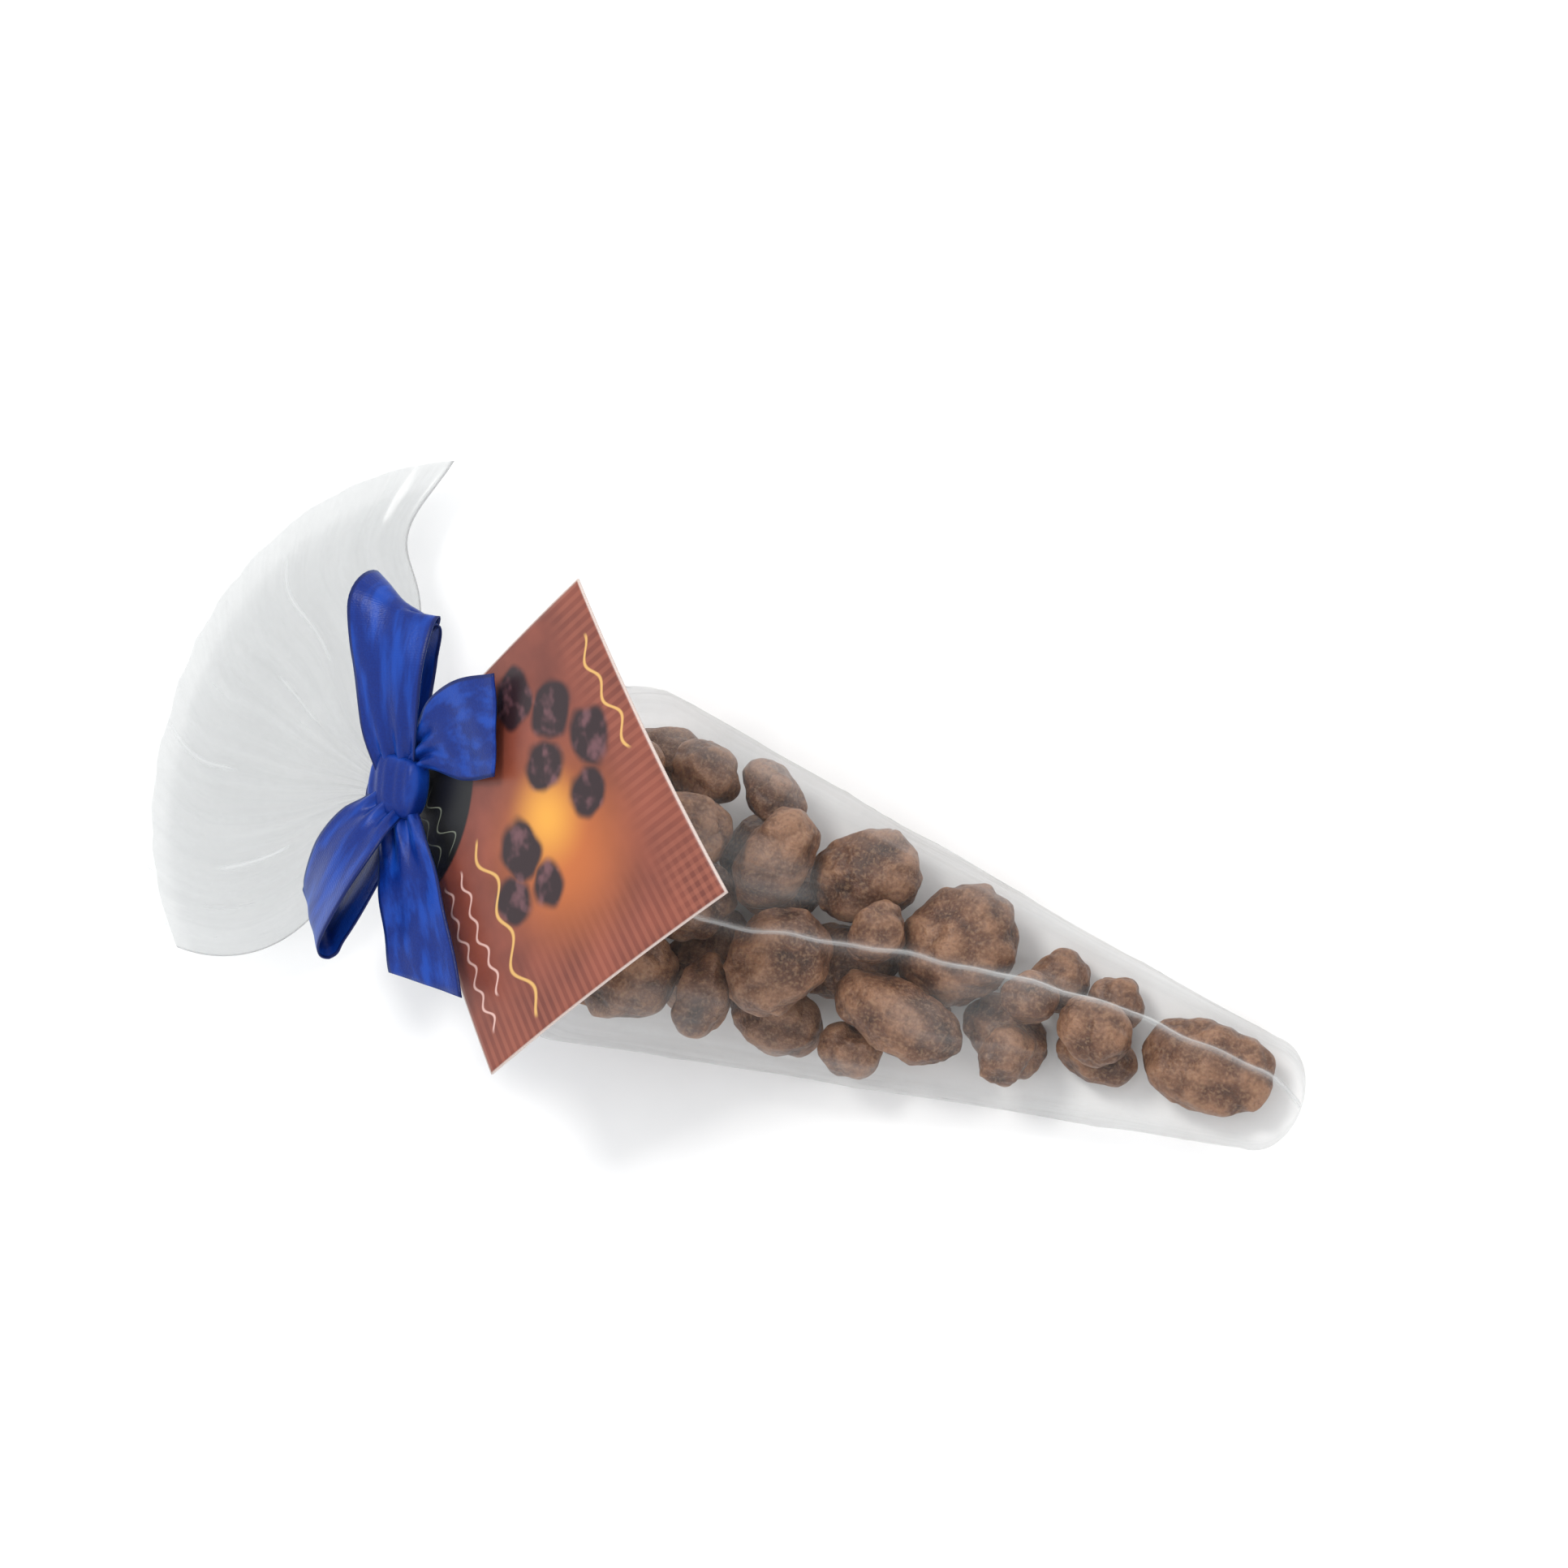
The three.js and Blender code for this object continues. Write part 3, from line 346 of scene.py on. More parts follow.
SEAM_ANGLE_AT_SHOULDER = 95  # degrees round the section, from its side towards +Y
SEAM_ANGLE_AT_TIP = 66
SEAM_DRIFT = (0.2, 0.8)  # shares of the cone's length between which the seam turns aside
SEAM_WAVES = ((1, 3.1, 0), (0.7, 1.7, 1), (1.2, 9, 0))  # height, length and start of each wave
SEAM_SHARPNESS = 1.6

DENT_HEIGHT = 0.5  # broad soft dents of the film over the body
DENT_LENGTH = 26
DENT_WIDTH = 12
CREASE_HEIGHT = 0.25  # long thin creases between them
CREASE_LENGTH = 34
CREASE_WIDTH = 7
CREASE_SHARPNESS = 6
CALM_TIP = 6  # the film lies smooth from this far behind the tip's rounding

GATHERED_HAZE = 0.6  # how milky the film looks: where it is gathered, along its flanks, on its seam
FLANK_HAZE = 0.4
FLANK_EDGES = (0.7, 0.98)
SEAM_HAZE = 1.7
SEAM_HAZE_SHARPNESS = 1.3
LEAST_HAZE = 0.03
FAN_HAZE = 0.65
FAN_RIM_HAZE = 0.25  # on top of the rest of the fan's
FAN_CREASE_HAZE = 1.5
# Painted reflections: pale haze patches on the upper face of the film over the sweets
PAINTED_REFLECTION_HAZE = 0.3
PAINTED_REFLECTION_EDGES = (0.12, 0.45)
TIP_HAZE = 0.3
# The streaks are painted highlights of the film's wrinkles, scaled by its haze
STREAK_STRETCH = (64, 2, 1)  # noise cells round the bag and along it
FILM_CLEAR_TINT = (0.962, 0.962, 0.96)
FILM_HAZY_TINT = (0.87, 0.873, 0.873)
FILM_GLOSS = (0.6, 0.61, 0.61, 1)

FAN_RING_CROWDING = 1.25  # above 1 the rings crowd towards the neck
FAN_LOWER_CURVE = 1.7
FAN_LAYER_SHAPE = 0.7
FAN_NECK_OPENING = 0.55  # half opening at the neck, as a share of its radius
FAN_BLEND = 0.22  # share of the fan's reach over which the round neck flattens into it
FAN_CREASES = (  # column, and shares of the reach where each bright fold line starts and ends
    (28, 0.35, 0.9),
    (43, 0.2, 0.55),
    (71, 0.5, 0.92),
    (97, 0.3, 0.7),
)


def body_section(x):
    """Half width, height of the sides, rise, sink, floor and crest of the bag's section at x."""
    along = clamp((x - NECK_END) / SHOULDER_LENGTH, 0, 1)
    opened = 1 - (1 - along) ** 2
    landed = 1 - (1 - along) ** 3
    cone = clamp((x - WIDEST) / (TIP_START - WIDEST), 0, 1)
    closing = math.sqrt(max(0.0, 1 - clamp((x - TIP_START) / TIP_ROUNDING, 0, 1) ** TIP_FULLNESS))
    full_half = lerp(BAG_WIDTH / 2, TIP_WIDTH / 2, cone)
    full_top = lerp(BAG_HEIGHT, TIP_HEIGHT, cone)
    top = lerp(NECK_HEIGHT + NECK_RADIUS, full_top, opened)
    bottom = (NECK_HEIGHT - NECK_RADIUS) * (1 - landed)
    side = lerp(NECK_CENTRE, BODY_CENTRE, opened) * (top - bottom) + bottom
    centre = lerp(side, BODY_CENTRE * full_top, cone)
    half = lerp(NECK_RADIUS, full_half, opened) * closing
    sink = (centre - bottom) * lerp(1, BODY_FLATTENING, opened) * closing
    floor = centre - (centre - bottom) * closing
    return half, centre, (top - centre) * closing, sink, floor, lerp(1, BODY_CREST, opened)


def seam_angle(x, half):
    """Angle of the seam's crest round the section."""
    start, end = SEAM_DRIFT
    drift = smoothstep(x, WIDEST + start * CONE_LENGTH, WIDEST + end * CONE_LENGTH)
    wave = sum(height * math.sin(x / length + phase) for height, length, phase in SEAM_WAVES)
    angle = math.radians(lerp(SEAM_ANGLE_AT_SHOULDER, SEAM_ANGLE_AT_TIP, drift))
    return angle + SEAM_WAVE / 2 * wave / max(half, NECK_RADIUS)


def column_angle(column, x, half):
    """Angle of a column round the section; a few columns crowd in on the seam."""
    quarter = FILM_COLUMNS // 4
    if column > 2 * quarter:
        return 2 * math.pi * column / FILM_COLUMNS
    plain = smoothstep(x, NECK_END, WIDEST)
    seam = lerp(math.pi / 2, seam_angle(x, half), plain)
    away = column - quarter
    span = seam if away < 0 else math.pi - seam
    even = span * away / quarter
    near = SEAM_WIDTH / max(half, SEAM_WIDTH)
    if abs(away) <= SEAM_COLUMNS:
        crowded = near * away / SEAM_COLUMNS
    else:
        rest = (abs(away) - SEAM_COLUMNS) / (quarter - SEAM_COLUMNS)
        crowded = math.copysign(near + (span - near) * rest, away)
    return seam + lerp(even, crowded, plain)


def pleat_wave(turn, seed):
    """Sharp-edged folds round the bag, uneven in pitch and height."""
    share = turn / (2 * math.pi)
    pitch = PLEAT_WANDER_PITCH
    wander = PLEAT_WANDER * noise.noise(Vector((math.cos(turn) * pitch, math.sin(turn) * pitch, seed)))
    phase = (PLEATS_AROUND * (share + wander / PLEATS_AROUND * 2)) % 1
    folded = 4 * abs(phase - 0.5) - 1
    fine = math.sin(FINE_PLEATS_AROUND * turn + seed) * FINE_PLEAT_SHARE
    return folded * PLEAT_FOLD_SHARE + fine


def body_ripple(x, turn, half):
    """Soft dents and creases of the thin film between the neck and the tip."""
    across, up = math.cos(turn) * half, math.sin(turn) * half
    dent = noise.noise(Vector((x / DENT_LENGTH, across / DENT_WIDTH, up / DENT_WIDTH)))
    place = Vector((x / CREASE_LENGTH + 7, across / CREASE_WIDTH, up / CREASE_WIDTH))
    crease = 1 - abs(noise.noise(place)) * 2
    return DENT_HEIGHT * dent + CREASE_HEIGHT * max(0, crease) ** CREASE_SHARPNESS


def film_body_point(column, x):
    half, centre, rise, sink, floor, crest = body_section(x)
    turn = column_angle(column, x, half)
    share = 2 * math.pi * column / FILM_COLUMNS
    along = clamp((x - NECK_END) / SHOULDER_LENGTH, 0, 1)
    swell = lerp(NECK_PLEAT_DEPTH, SHOULDER_PLEAT_DEPTH, smoothstep(along, 0, SHOULDER_PLEATS_FULL))
    proud = swell * (1 - smoothstep(along, *SHOULDER_PLEATS_FADE)) * pleat_wave(share, PLEAT_SEED)
    away = abs(column - FILM_COLUMNS // 4) / SEAM_COLUMNS
    ridge = math.exp(-((away * SEAM_SHARPNESS) ** 2)) * smoothstep(x, NECK_END, WIDEST)
    proud += SEAM_HEIGHT * ridge * (1 - smoothstep(x, TIP_START, TIP_END))
    rippled = smoothstep(x, NECK_END, WIDEST) * (1 - smoothstep(x, TIP_START - CALM_TIP, TIP_END))
    proud += body_ripple(x, turn, half) * rippled
    lift = abs(math.sin(turn)) ** crest
    y = (half + proud) * math.cos(turn)
    if math.sin(turn) >= 0:
        return (x, y, centre + (rise + proud) * lift)
    return (x, y, max(floor, centre - (sink + proud) * lift, 0))


def fan_edges(reach):
    hook = FAN_HOOK * math.exp(-(((reach - FAN_HOOK_PLACE) / FAN_HOOK_WIDTH) ** 2))
    upper = lerp(FAN_ROOT_ANGLE, FAN_UPPER_ANGLE, math.sqrt(reach)) - hook
    lower = lerp(FAN_ROOT_ANGLE, FAN_LOWER_ANGLE, reach**FAN_LOWER_CURVE)
    return upper, lower


def fan_point(column, reach):
    turn = 2 * math.pi * column / FILM_COLUMNS
    quarter = FILM_COLUMNS / 4
    share = 1 - column / quarter if column <= 2 * quarter else column / quarter - 3
    layer = math.copysign(abs(math.sin(turn)) ** FAN_LAYER_SHAPE, math.sin(turn))
    upper, lower = fan_edges(reach)
    middle, spread = (upper - lower) / 2, (upper + lower) / 2
    heading = middle + spread * share
    corner = FAN_CORNER_REACH * clamp(heading / FAN_UPPER_ANGLE, 0, 1)
    radius = lerp(NECK_RADIUS, FAN_RADIUS + corner, reach)
    opening = lerp(NECK_RADIUS * FAN_NECK_OPENING, MOUTH_GAP / 2, smoothstep(reach, 0.2, 1))
    height = NECK_HEIGHT - FAN_DROOP * reach
    depth = FAN_PLEAT_DEPTH * smoothstep(reach, 0, 0.25) * abs(math.sin(turn)) ** 0.5
    wave = pleat_wave(turn, PLEAT_SEED)
    above = height + opening * layer + depth * wave
    fan = Vector((-radius * math.cos(heading), radius * math.sin(heading), above))
    ring = NECK_RADIUS + NECK_PLEAT_DEPTH * wave
    bundle = Vector((-radius * reach, ring * math.cos(turn), height + ring * math.sin(turn)))
    return tuple(bundle.lerp(fan, smoothstep(reach, 0, FAN_BLEND)))


def fan_crease(column, reach):
    """Bright thin lines where the fan was folded."""
    haze = 0
    for place, start, end in FAN_CREASES:
        line = max(0, 1 - abs(column - place))
        fade = smoothstep(reach, start, start + 0.1) * (1 - smoothstep(reach, end - 0.1, end))
        haze += FAN_CREASE_HAZE * line * fade
    return haze


def painted_reflection(x, column):
    """Painted reflections: broad pale patches of haze on the upper face of the film over the sweets."""
    turn = 2 * math.pi * column / FILM_COLUMNS
    place = Vector((x / 30, math.cos(turn) * 1.6, math.sin(turn) * 1.6 + 4))
    patch = smoothstep(noise.noise(place), *PAINTED_REFLECTION_EDGES)
    return PAINTED_REFLECTION_HAZE * patch * smoothstep(math.sin(turn), 0, 0.3)


def film_material():
    """Clear film, with a thin pale cover where it is hazy or seen edge-on, and in pale streaks that are
    painted highlights of its wrinkles.
    """
    material, tree = new_material("clear_film")
    haze = add(tree, "ShaderNodeAttribute", attribute_name="haze").outputs["Fac"]
    uv = add(tree, "ShaderNodeUVMap", uv_map="film").outputs["UV"]
    stretch = add(tree, "ShaderNodeMapping")
    stretch.inputs["Scale"].default_value = STREAK_STRETCH
    tree.links.new(uv, stretch.inputs["Vector"])
    streaks = noise_node(tree, stretch.outputs[0], 1.0, 3, 0.5)
    place = add(tree, "ShaderNodeTexCoord").outputs["Object"]
    smears = noise_node(tree, place, 70, 4, 0.6)
    weight = add(tree, "ShaderNodeLayerWeight")
    weight.inputs["Blend"].default_value = 0.35
    edge_on = math_node(tree, "POWER", weight.outputs["Facing"], 3.0)
    grazing = math_node(tree, "MULTIPLY", edge_on, 0.6)
    # Painted highlights: noise streaks along the film add pale cover where it is hazy, standing in for light
    # on its wrinkles.
    streak = above_node(tree, streaks, 0.45, 0.75)
    smear = above_node(tree, smears, 0.5, 0.4)
    marks = math_node(tree, "ADD", streak, math_node(tree, "ADD", smear, 0.2))
    cloudy = math_node(tree, "MULTIPLY", haze, marks)
    cover = math_node(tree, "ADD", math_node(tree, "ADD", grazing, cloudy), 0.01, clamped=True)
    gloss = add(tree, "ShaderNodeBsdfPrincipled")
    gloss.inputs["Base Color"].default_value = FILM_GLOSS
    gloss.inputs["Roughness"].default_value = 0.14
    gloss.inputs["IOR"].default_value = 1.5
    gloss.inputs["Specular IOR Level"].default_value = 0.6
    ripple = noise_node(tree, stretch.outputs[0], 0.6, 3, 0.5)
    tree.links.new(bump_node(tree, ripple, 0.12, 0.0004), gloss.inputs["Normal"])
    clear = add(tree, "ShaderNodeBsdfTransparent")
    milky = math_node(tree, "MULTIPLY", haze, 1.0, clamped=True)
    tint = mix_colour(tree, milky, FILM_CLEAR_TINT, FILM_HAZY_TINT)
    tree.links.new(tint, clear.inputs["Color"])
    blend = add(tree, "ShaderNodeMixShader")
    tree.links.new(cover, blend.inputs[0])
    tree.links.new(clear.outputs[0], blend.inputs[1])
    tree.links.new(gloss.outputs[0], blend.inputs[2])
    finish_material(tree, blend.outputs[0])
    return material


def make_film():
    quarter_turns = [math.pi / 2 * i / TIP_RINGS for i in range(1, TIP_RINGS + 1)]
    places = [lerp(TIP_START, TIP_END, math.cos(turn)) for turn in quarter_turns]
    for start, end, count in (
        (TIP_START, WIDEST, CONE_RINGS),
        (WIDEST, NECK_END, SHOULDER_RINGS),
        (NECK_END, 0, NECK_RINGS),
    ):
        places += [lerp(start, end, i / count) for i in range(1, count + 1)]
    reaches = [(i / FAN_RINGS) ** FAN_RING_CROWDING for i in range(1, FAN_RINGS + 1)]
    columns = range(FILM_COLUMNS)
    points = [film_body_point(c, x) for x in places for c in columns]
    points += [fan_point(c, r) for r in reaches for c in columns]
    rows = len(places) + len(reaches)
    faces = grid_faces(rows, FILM_COLUMNS, True)
    tip = len(points)
    points.append((TIP_END, 0, body_section(TIP_END)[1]))
    faces += [(tip, (c + 1) % FILM_COLUMNS, c) for c in columns]
    film = make_object("film_sheet", points, faces, film_material(), "bag_film")

    # Haze: hardly any over the body, more along its flanks, most where it is gathered and in the fan.
    haze = film.data.attributes.new("haze", "FLOAT", "POINT")
    values = []
    for x in places:
        half = body_section(x)[0]
        gathered = 1 - smoothstep(x, NECK_END, WIDEST)
        for column in columns:
            away = abs(column - FILM_COLUMNS // 4) / SEAM_COLUMNS
            seam = math.exp(-((away * SEAM_HAZE_SHARPNESS) ** 2)) * (1 - gathered)
            flank = smoothstep(abs(math.cos(column_angle(column, x, half))), *FLANK_EDGES)
            open_film = FLANK_HAZE * flank * (1 - gathered) + SEAM_HAZE * seam
            # The painted reflections on the upper face are added to the haze here.
            values.append(LEAST_HAZE + GATHERED_HAZE * gathered + open_film + painted_reflection(x, column))
    for reach in reaches:
        values += [FAN_HAZE + FAN_RIM_HAZE * reach + fan_crease(c, reach) for c in columns]
    values.append(TIP_HAZE)
    haze.data.foreach_set("value", values)
    uv = film.data.uv_layers.new(name="film")
    for loop in film.data.loops:
        index = loop.vertex_index
        column, row = index % FILM_COLUMNS, index // FILM_COLUMNS
        uv.data[loop.index].uv = (column / FILM_COLUMNS, row / rows)
    return film


# Card

CARD_STEPS = 60
CARD_REACH = CARD_SIDE / math.sqrt(2)
CARD_ALONG = Vector((math.cos(CARD_SLOPE), 0, math.sin(CARD_SLOPE)))
CARD_ACROSS = Matrix.Rotation(CARD_ROLL, 3, CARD_ALONG) @ Vector((0, 1, 0))
CARD_UP = CARD_ALONG.cross(CARD_ACROSS)
CARD_CORNER = Vector((NECK_LENGTH / 2, 3.9, 28.15))  # the corner by the knot
CARD_CENTRE = CARD_CORNER + CARD_ALONG * CARD_REACH


def card_point(along, across, above):
    bend = CARD_BEND * (1 - (along / CARD_REACH) ** 2)
    return CARD_CENTRE + CARD_ALONG * along + CARD_ACROSS * across + CARD_UP * (bend + above)


HOLE_CENTRE = card_point(CARD_HOLE_INSET - CARD_REACH, 0, 0)


def band(tree, value, low, high, soft):
    """One between low and high, fading to nought over a soft edge on each side."""
    rise = add(tree, "ShaderNodeMapRange", interpolation_type="SMOOTHSTEP")
    fall = add(tree, "ShaderNodeMapRange", interpolation_type="SMOOTHSTEP")
    for node, edges in ((rise, (low - soft, low + soft)), (fall, (high + soft, high - soft))):
        node.inputs["From Min"].default_value, node.inputs["From Max"].default_value = edges
        tree.links.new(value, node.inputs["Value"])
    return math_node(tree, "MULTIPLY", rise.outputs["Result"], fall.outputs["Result"])


def blob(tree, place, centre, radius, soft):
    """One inside a round patch of the card, nought outside."""
    away = add(tree, "ShaderNodeVectorMath", operation="DISTANCE")
    tree.links.new(place, away.inputs[0])
    away.inputs[1].default_value = (*centre, 0)
    return band(tree, away.outputs["Value"], -1, radius, soft)


def flourish(tree, u, v, height, swing, waves, start, end, width):
    """A wavy line along the card, as thick as a pen stroke."""
    turn = math_node(tree, "MULTIPLY", u, 2 * math.pi * waves)
    wave = math_node(tree, "MULTIPLY", math_node(tree, "SINE", turn), swing)
    slow = math_node(tree, "SINE", math_node(tree, "MULTIPLY", turn, 0.37))
    middle = math_node(tree, "ADD", math_node(tree, "MULTIPLY", slow, swing * 0.6), height)
    line = math_node(tree, "SUBTRACT", math_node(tree, "SUBTRACT", v, wave), middle)
    stroke = band(tree, line, -width, width, width * 0.6)
    return math_node(tree, "MULTIPLY", stroke, band(tree, u, start, end, 0.01))


# The print, in shares of the card's side from the corner by the knot
RUST_DARK = (0.13, 0.03, 0.02)
RUST_PALE = (0.24, 0.06, 0.036)
STRIPES = 34
STRIPE_COLOUR = (0.4, 0.13, 0.08)
GLOWS = (  # centre, radius, softness and colour
    ((0.6, 0.56), 0.2, 0.16, (0.45, 0.12, 0.028)),
    ((0.5, 0.56), 0.09, 0.09, (0.7, 0.32, 0.045)),
)
LUMPS = (  # centre and radius
    ((0.14, 0.6), 0.08),
    ((0.25, 0.73), 0.085),
    ((0.37, 0.62), 0.075),
    ((0.4, 0.82), 0.08),
    ((0.52, 0.73), 0.07),
    ((0.52, 0.42), 0.085),
    ((0.63, 0.33), 0.07),
    ((0.66, 0.47), 0.065),
)
LUMP_WARP = 0.07
LUMP_SOFTNESS = 0.015
LUMP_COLOUR = (0.022, 0.009, 0.012)
LUMP_GLINT = (0.13, 0.055, 0.065)
CORNER_REACH = 0.41
CORNER_COLOUR = (0.004, 0.004, 0.004)
CORNER_INK = (0.3, 0.33, 0.25)
CORNER_STROKES = ((0.07, 0.02), (0.14, 0.03))  # height and swing
PALE_INK = (0.7, 0.45, 0.4)
GOLDEN_INK = (0.7, 0.42, 0.13)
STROKES = (  # height, swing, waves, start, end, width and ink
    (0.075, 0.012, 13, 0.44, 0.9, 0.0045, PALE_INK),
    (0.15, 0.012, 12, 0.44, 0.82, 0.0045, PALE_INK),
    (0.26, 0.024, 6, 0.4, 0.95, 0.006, GOLDEN_INK),
    (0.93, 0.016, 8, 0.15, 0.5, 0.005, GOLDEN_INK),
)
PAPER_DARK = (0.5, 0.38, 0.34)
PAPER_PALE = (0.68, 0.58, 0.53)
CUT_EDGE = 0.004


def add_stripes(tree, colour, along, across, start, soft, strength):
    """Fine stripes that fade in towards one edge of the card."""
    wave = math_node(tree, "SINE", math_node(tree, "MULTIPLY", along, 2 * math.pi * STRIPES))
    near_edge = band(tree, across, start, 2, soft)
    striped = math_node(tree, "MULTIPLY", band(tree, wave, 0.1, 2, 0.5), near_edge)
    return mix_colour(tree, math_node(tree, "MULTIPLY", striped, strength), colour, STRIPE_COLOUR)


def lump_shares(tree, uv):
    """One on the dark lumps, whose outlines are uneven, and nought elsewhere."""
    shift = add(tree, "ShaderNodeTexNoise")
    shift.inputs["Scale"].default_value = 9
    shift.inputs["Detail"].default_value = 1
    tree.links.new(uv, shift.inputs["Vector"])
    warp = add(tree, "ShaderNodeVectorMath", operation="MULTIPLY_ADD")
    tree.links.new(shift.outputs["Color"], warp.inputs[0])
    warp.inputs[1].default_value = (LUMP_WARP, LUMP_WARP, 0)
    tree.links.new(uv, warp.inputs[2])
    lumps = None
    for centre, radius in LUMPS:
        middle = (centre[0] + LUMP_WARP / 2, centre[1] + LUMP_WARP / 2)
        patch = blob(tree, warp.outputs[0], middle, radius, LUMP_SOFTNESS)
        lumps = patch if lumps is None else math_node(tree, "MAXIMUM", lumps, patch)
    return lumps


def card_material():
    """Generic print: a rust field with fine stripes, a warm glow, dark lumps, pen flourishes."""
    material, tree = new_material("printed_card")
    shader = add(tree, "ShaderNodeBsdfPrincipled")
    uv = add(tree, "ShaderNodeUVMap", uv_map="card").outputs["UV"]
    parts = add(tree, "ShaderNodeSeparateXYZ")
    tree.links.new(uv, parts.inputs[0])
    u, v = parts.outputs[0], parts.outputs[1]
    mottled = noise_node(tree, uv, 5, 3)
    colour = ramp_node(tree, mottled, [(0.3, RUST_DARK), (0.7, RUST_PALE)])
    colour = add_stripes(tree, colour, v, u, 0.85, 0.12, 0.3)
    colour = add_stripes(tree, colour, u, v, 0.86, 0.06, 0.25)
    for centre, radius, soft, glow in GLOWS:
        colour = mix_colour(tree, blob(tree, uv, centre, radius, soft), colour, glow)

    glints = band(tree, noise_node(tree, uv, 15, 2, 0.5), 0.6, 2, 0.12)
    lump_colour = mix_colour(tree, glints, LUMP_COLOUR, LUMP_GLINT)
    colour = mix_colour(tree, lump_shares(tree, uv), colour, lump_colour)

    # Black corner by the knot, and the pen strokes
    colour = mix_colour(tree, blob(tree, uv, (0, 0), CORNER_REACH, 0.006), colour, CORNER_COLOUR)
    for height, swing in CORNER_STROKES:
        thin = flourish(tree, u, v, height, swing, 10, 0.15, 0.36, 0.003)
        colour = mix_colour(tree, math_node(tree, "MULTIPLY", thin, 0.5), colour, CORNER_INK)
    for height, swing, waves, start, end, width, ink in STROKES:
        stroke = flourish(tree, u, v, height, swing, waves, start, end, width)
        colour = mix_colour(tree, math_node(tree, "MULTIPLY", stroke, 0.85), colour, ink)

    # Pale paper shows along the cut edges and underneath.
    inside_u = band(tree, u, CUT_EDGE, 1 - CUT_EDGE, 0.003)
    inside_v = band(tree, v, CUT_EDGE, 1 - CUT_EDGE, 0.003)
    fibre = noise_node(tree, uv, 300, 2)
    paper = ramp_node(tree, fibre, [(0.3, PAPER_DARK), (0.7, PAPER_PALE)])
    colour = mix_colour(tree, math_node(tree, "MULTIPLY", inside_u, inside_v), paper, colour)
    under = add(tree, "ShaderNodeAttribute", attribute_name="under").outputs["Fac"]
    colour = mix_colour(tree, under, colour, paper)
    tree.links.new(colour, shader.inputs["Base Color"])
    shader.inputs["Roughness"].default_value = 0.38
    shader.inputs["Specular IOR Level"].default_value = 0.4
    tree.links.new(bump_node(tree, fibre, 0.08, 0.0001), shader.inputs["Normal"])
    finish_material(tree, shader.outputs[0])
    return material


def make_card():
    side = CARD_STEPS + 1
    points, faces = [], []
    for above in (CARD_THICKNESS / 2, -CARD_THICKNESS / 2):
        for i in range(side):
            for j in range(side):
                a, b = i / CARD_STEPS, j / CARD_STEPS
                points.append(card_point((a + b - 1) * CARD_REACH, (b - a) * CARD_REACH, above))
    under = side * side
    for i in range(CARD_STEPS):
        for j in range(CARD_STEPS):
            a, b, c, d = i * side + j, (i + 1) * side + j, (i + 1) * side + j + 1, i * side + j + 1
            faces.append((a, b, c, d))
            faces.append((under + d, under + c, under + b, under + a))
    for i in range(CARD_STEPS):
        for a, b in (
            (i * side, (i + 1) * side),
            ((i + 1) * side + CARD_STEPS, i * side + CARD_STEPS),
            (i + 1, i),
            (CARD_STEPS * side + i, CARD_STEPS * side + i + 1),
        ):
            faces.append((b, a, under + a, under + b))
    card = make_object("printed_card", points, faces, card_material(), "tag_card")
    uv = card.data.uv_layers.new(name="card")
    for loop in card.data.loops:
        index = loop.vertex_index % under
        uv.data[loop.index].uv = (index // side / CARD_STEPS, index % side / CARD_STEPS)
    back = card.data.attributes.new("under", "FLOAT", "POINT")
    back.data.foreach_set("value", [0.0] * under + [1.0] * under)
    return card


# Ribbon

ACROSS_STEPS = 28
LOOP_STATIONS = 90
TAIL_STATIONS = 40
GATHER_HEIGHT = 0.8  # folds across the ribbon where it is bunched by the knot
TRAIL_HEIGHT = 0.35  # what is left of them further out
SLACK_HEIGHT = 0.25
TAIL_OVER_CARD_SKEW = 0.8  # slanted cuts: how far each end's corners lie off square
TAIL_DOWN_SKEW = 5.5

KNOT_LENGTH = 11
KNOT_WIDTH = 13
KNOT_HEIGHT = 6
KNOT_SLOPE = math.radians(18)
KNOT_LIFT = 3.4
KNOT_FORWARD = 4.3
KNOT_ASIDE = 0.6
KNOT_CARD_GAP = 0.55
KNOT_OVER_HOLE = KNOT_CARD_GAP + KNOT_HEIGHT / 2 + KNOT_LIFT
KNOT_CENTRE = HOLE_CENTRE + Vector((KNOT_FORWARD, -KNOT_ASIDE, 0)) + CARD_UP * KNOT_OVER_HOLE
KNOT_ROWS = 48
KNOT_COLUMNS = 96

# Routes of the ribbon from the knot's middle, in ribbon widths: place, sideways direction, width
LOOP_UP = [
    ((-0.03, 0.12, 0.06), (1, 0, 0), 0.5),
    ((-0.21, 0.62, 0.29), (0.98, 0.05, 0.1), 0.8),
    ((-0.41, 1.34, 0.47), (0.96, -0.15, 0.1), 1),
    ((-0.56, 1.89, 0.41), (0.9, -0.36, 0.12), 1.14),
    ((-0.51, 1.96, 0.19), (0.9, -0.36, 0.12), 1.16),
    ((-0.5, 1.41, -0.03), (0.96, -0.15, 0), 0.96),
    ((-0.28, 0.62, -0.03), (0.98, 0.05, 0), 0.75),
    ((-0.06, 0.12, 0), (1, 0, 0), 0.45),
]
LOOP_DOWN = [
    ((-0.02, -0.22, 0.07), (1, -0.1, 0), 0.5),
    ((-0.18, -0.58, 0.19), (0.9, -0.2, 0.4), 0.85),
    ((-0.39, -1.12, 0.14), (0.8, -0.32, 0.5), 1.05),
    ((-0.6, -1.7, -0.15), (0.68, -0.5, 0.5), 1.1),
    ((-0.59, -1.84, -0.34), (0.66, -0.54, 0.5), 1.08),
    ((-0.47, -1.72, -0.44), (0.66, -0.5, 0.55), 1),
    ((-0.26, -1.12, -0.28), (0.72, -0.42, 0.55), 1),
    ((-0.1, -0.56, -0.11), (0.88, -0.25, 0.35), 0.8),
    ((-0.03, -0.19, -0.04), (1, -0.1, 0), 0.5),
]
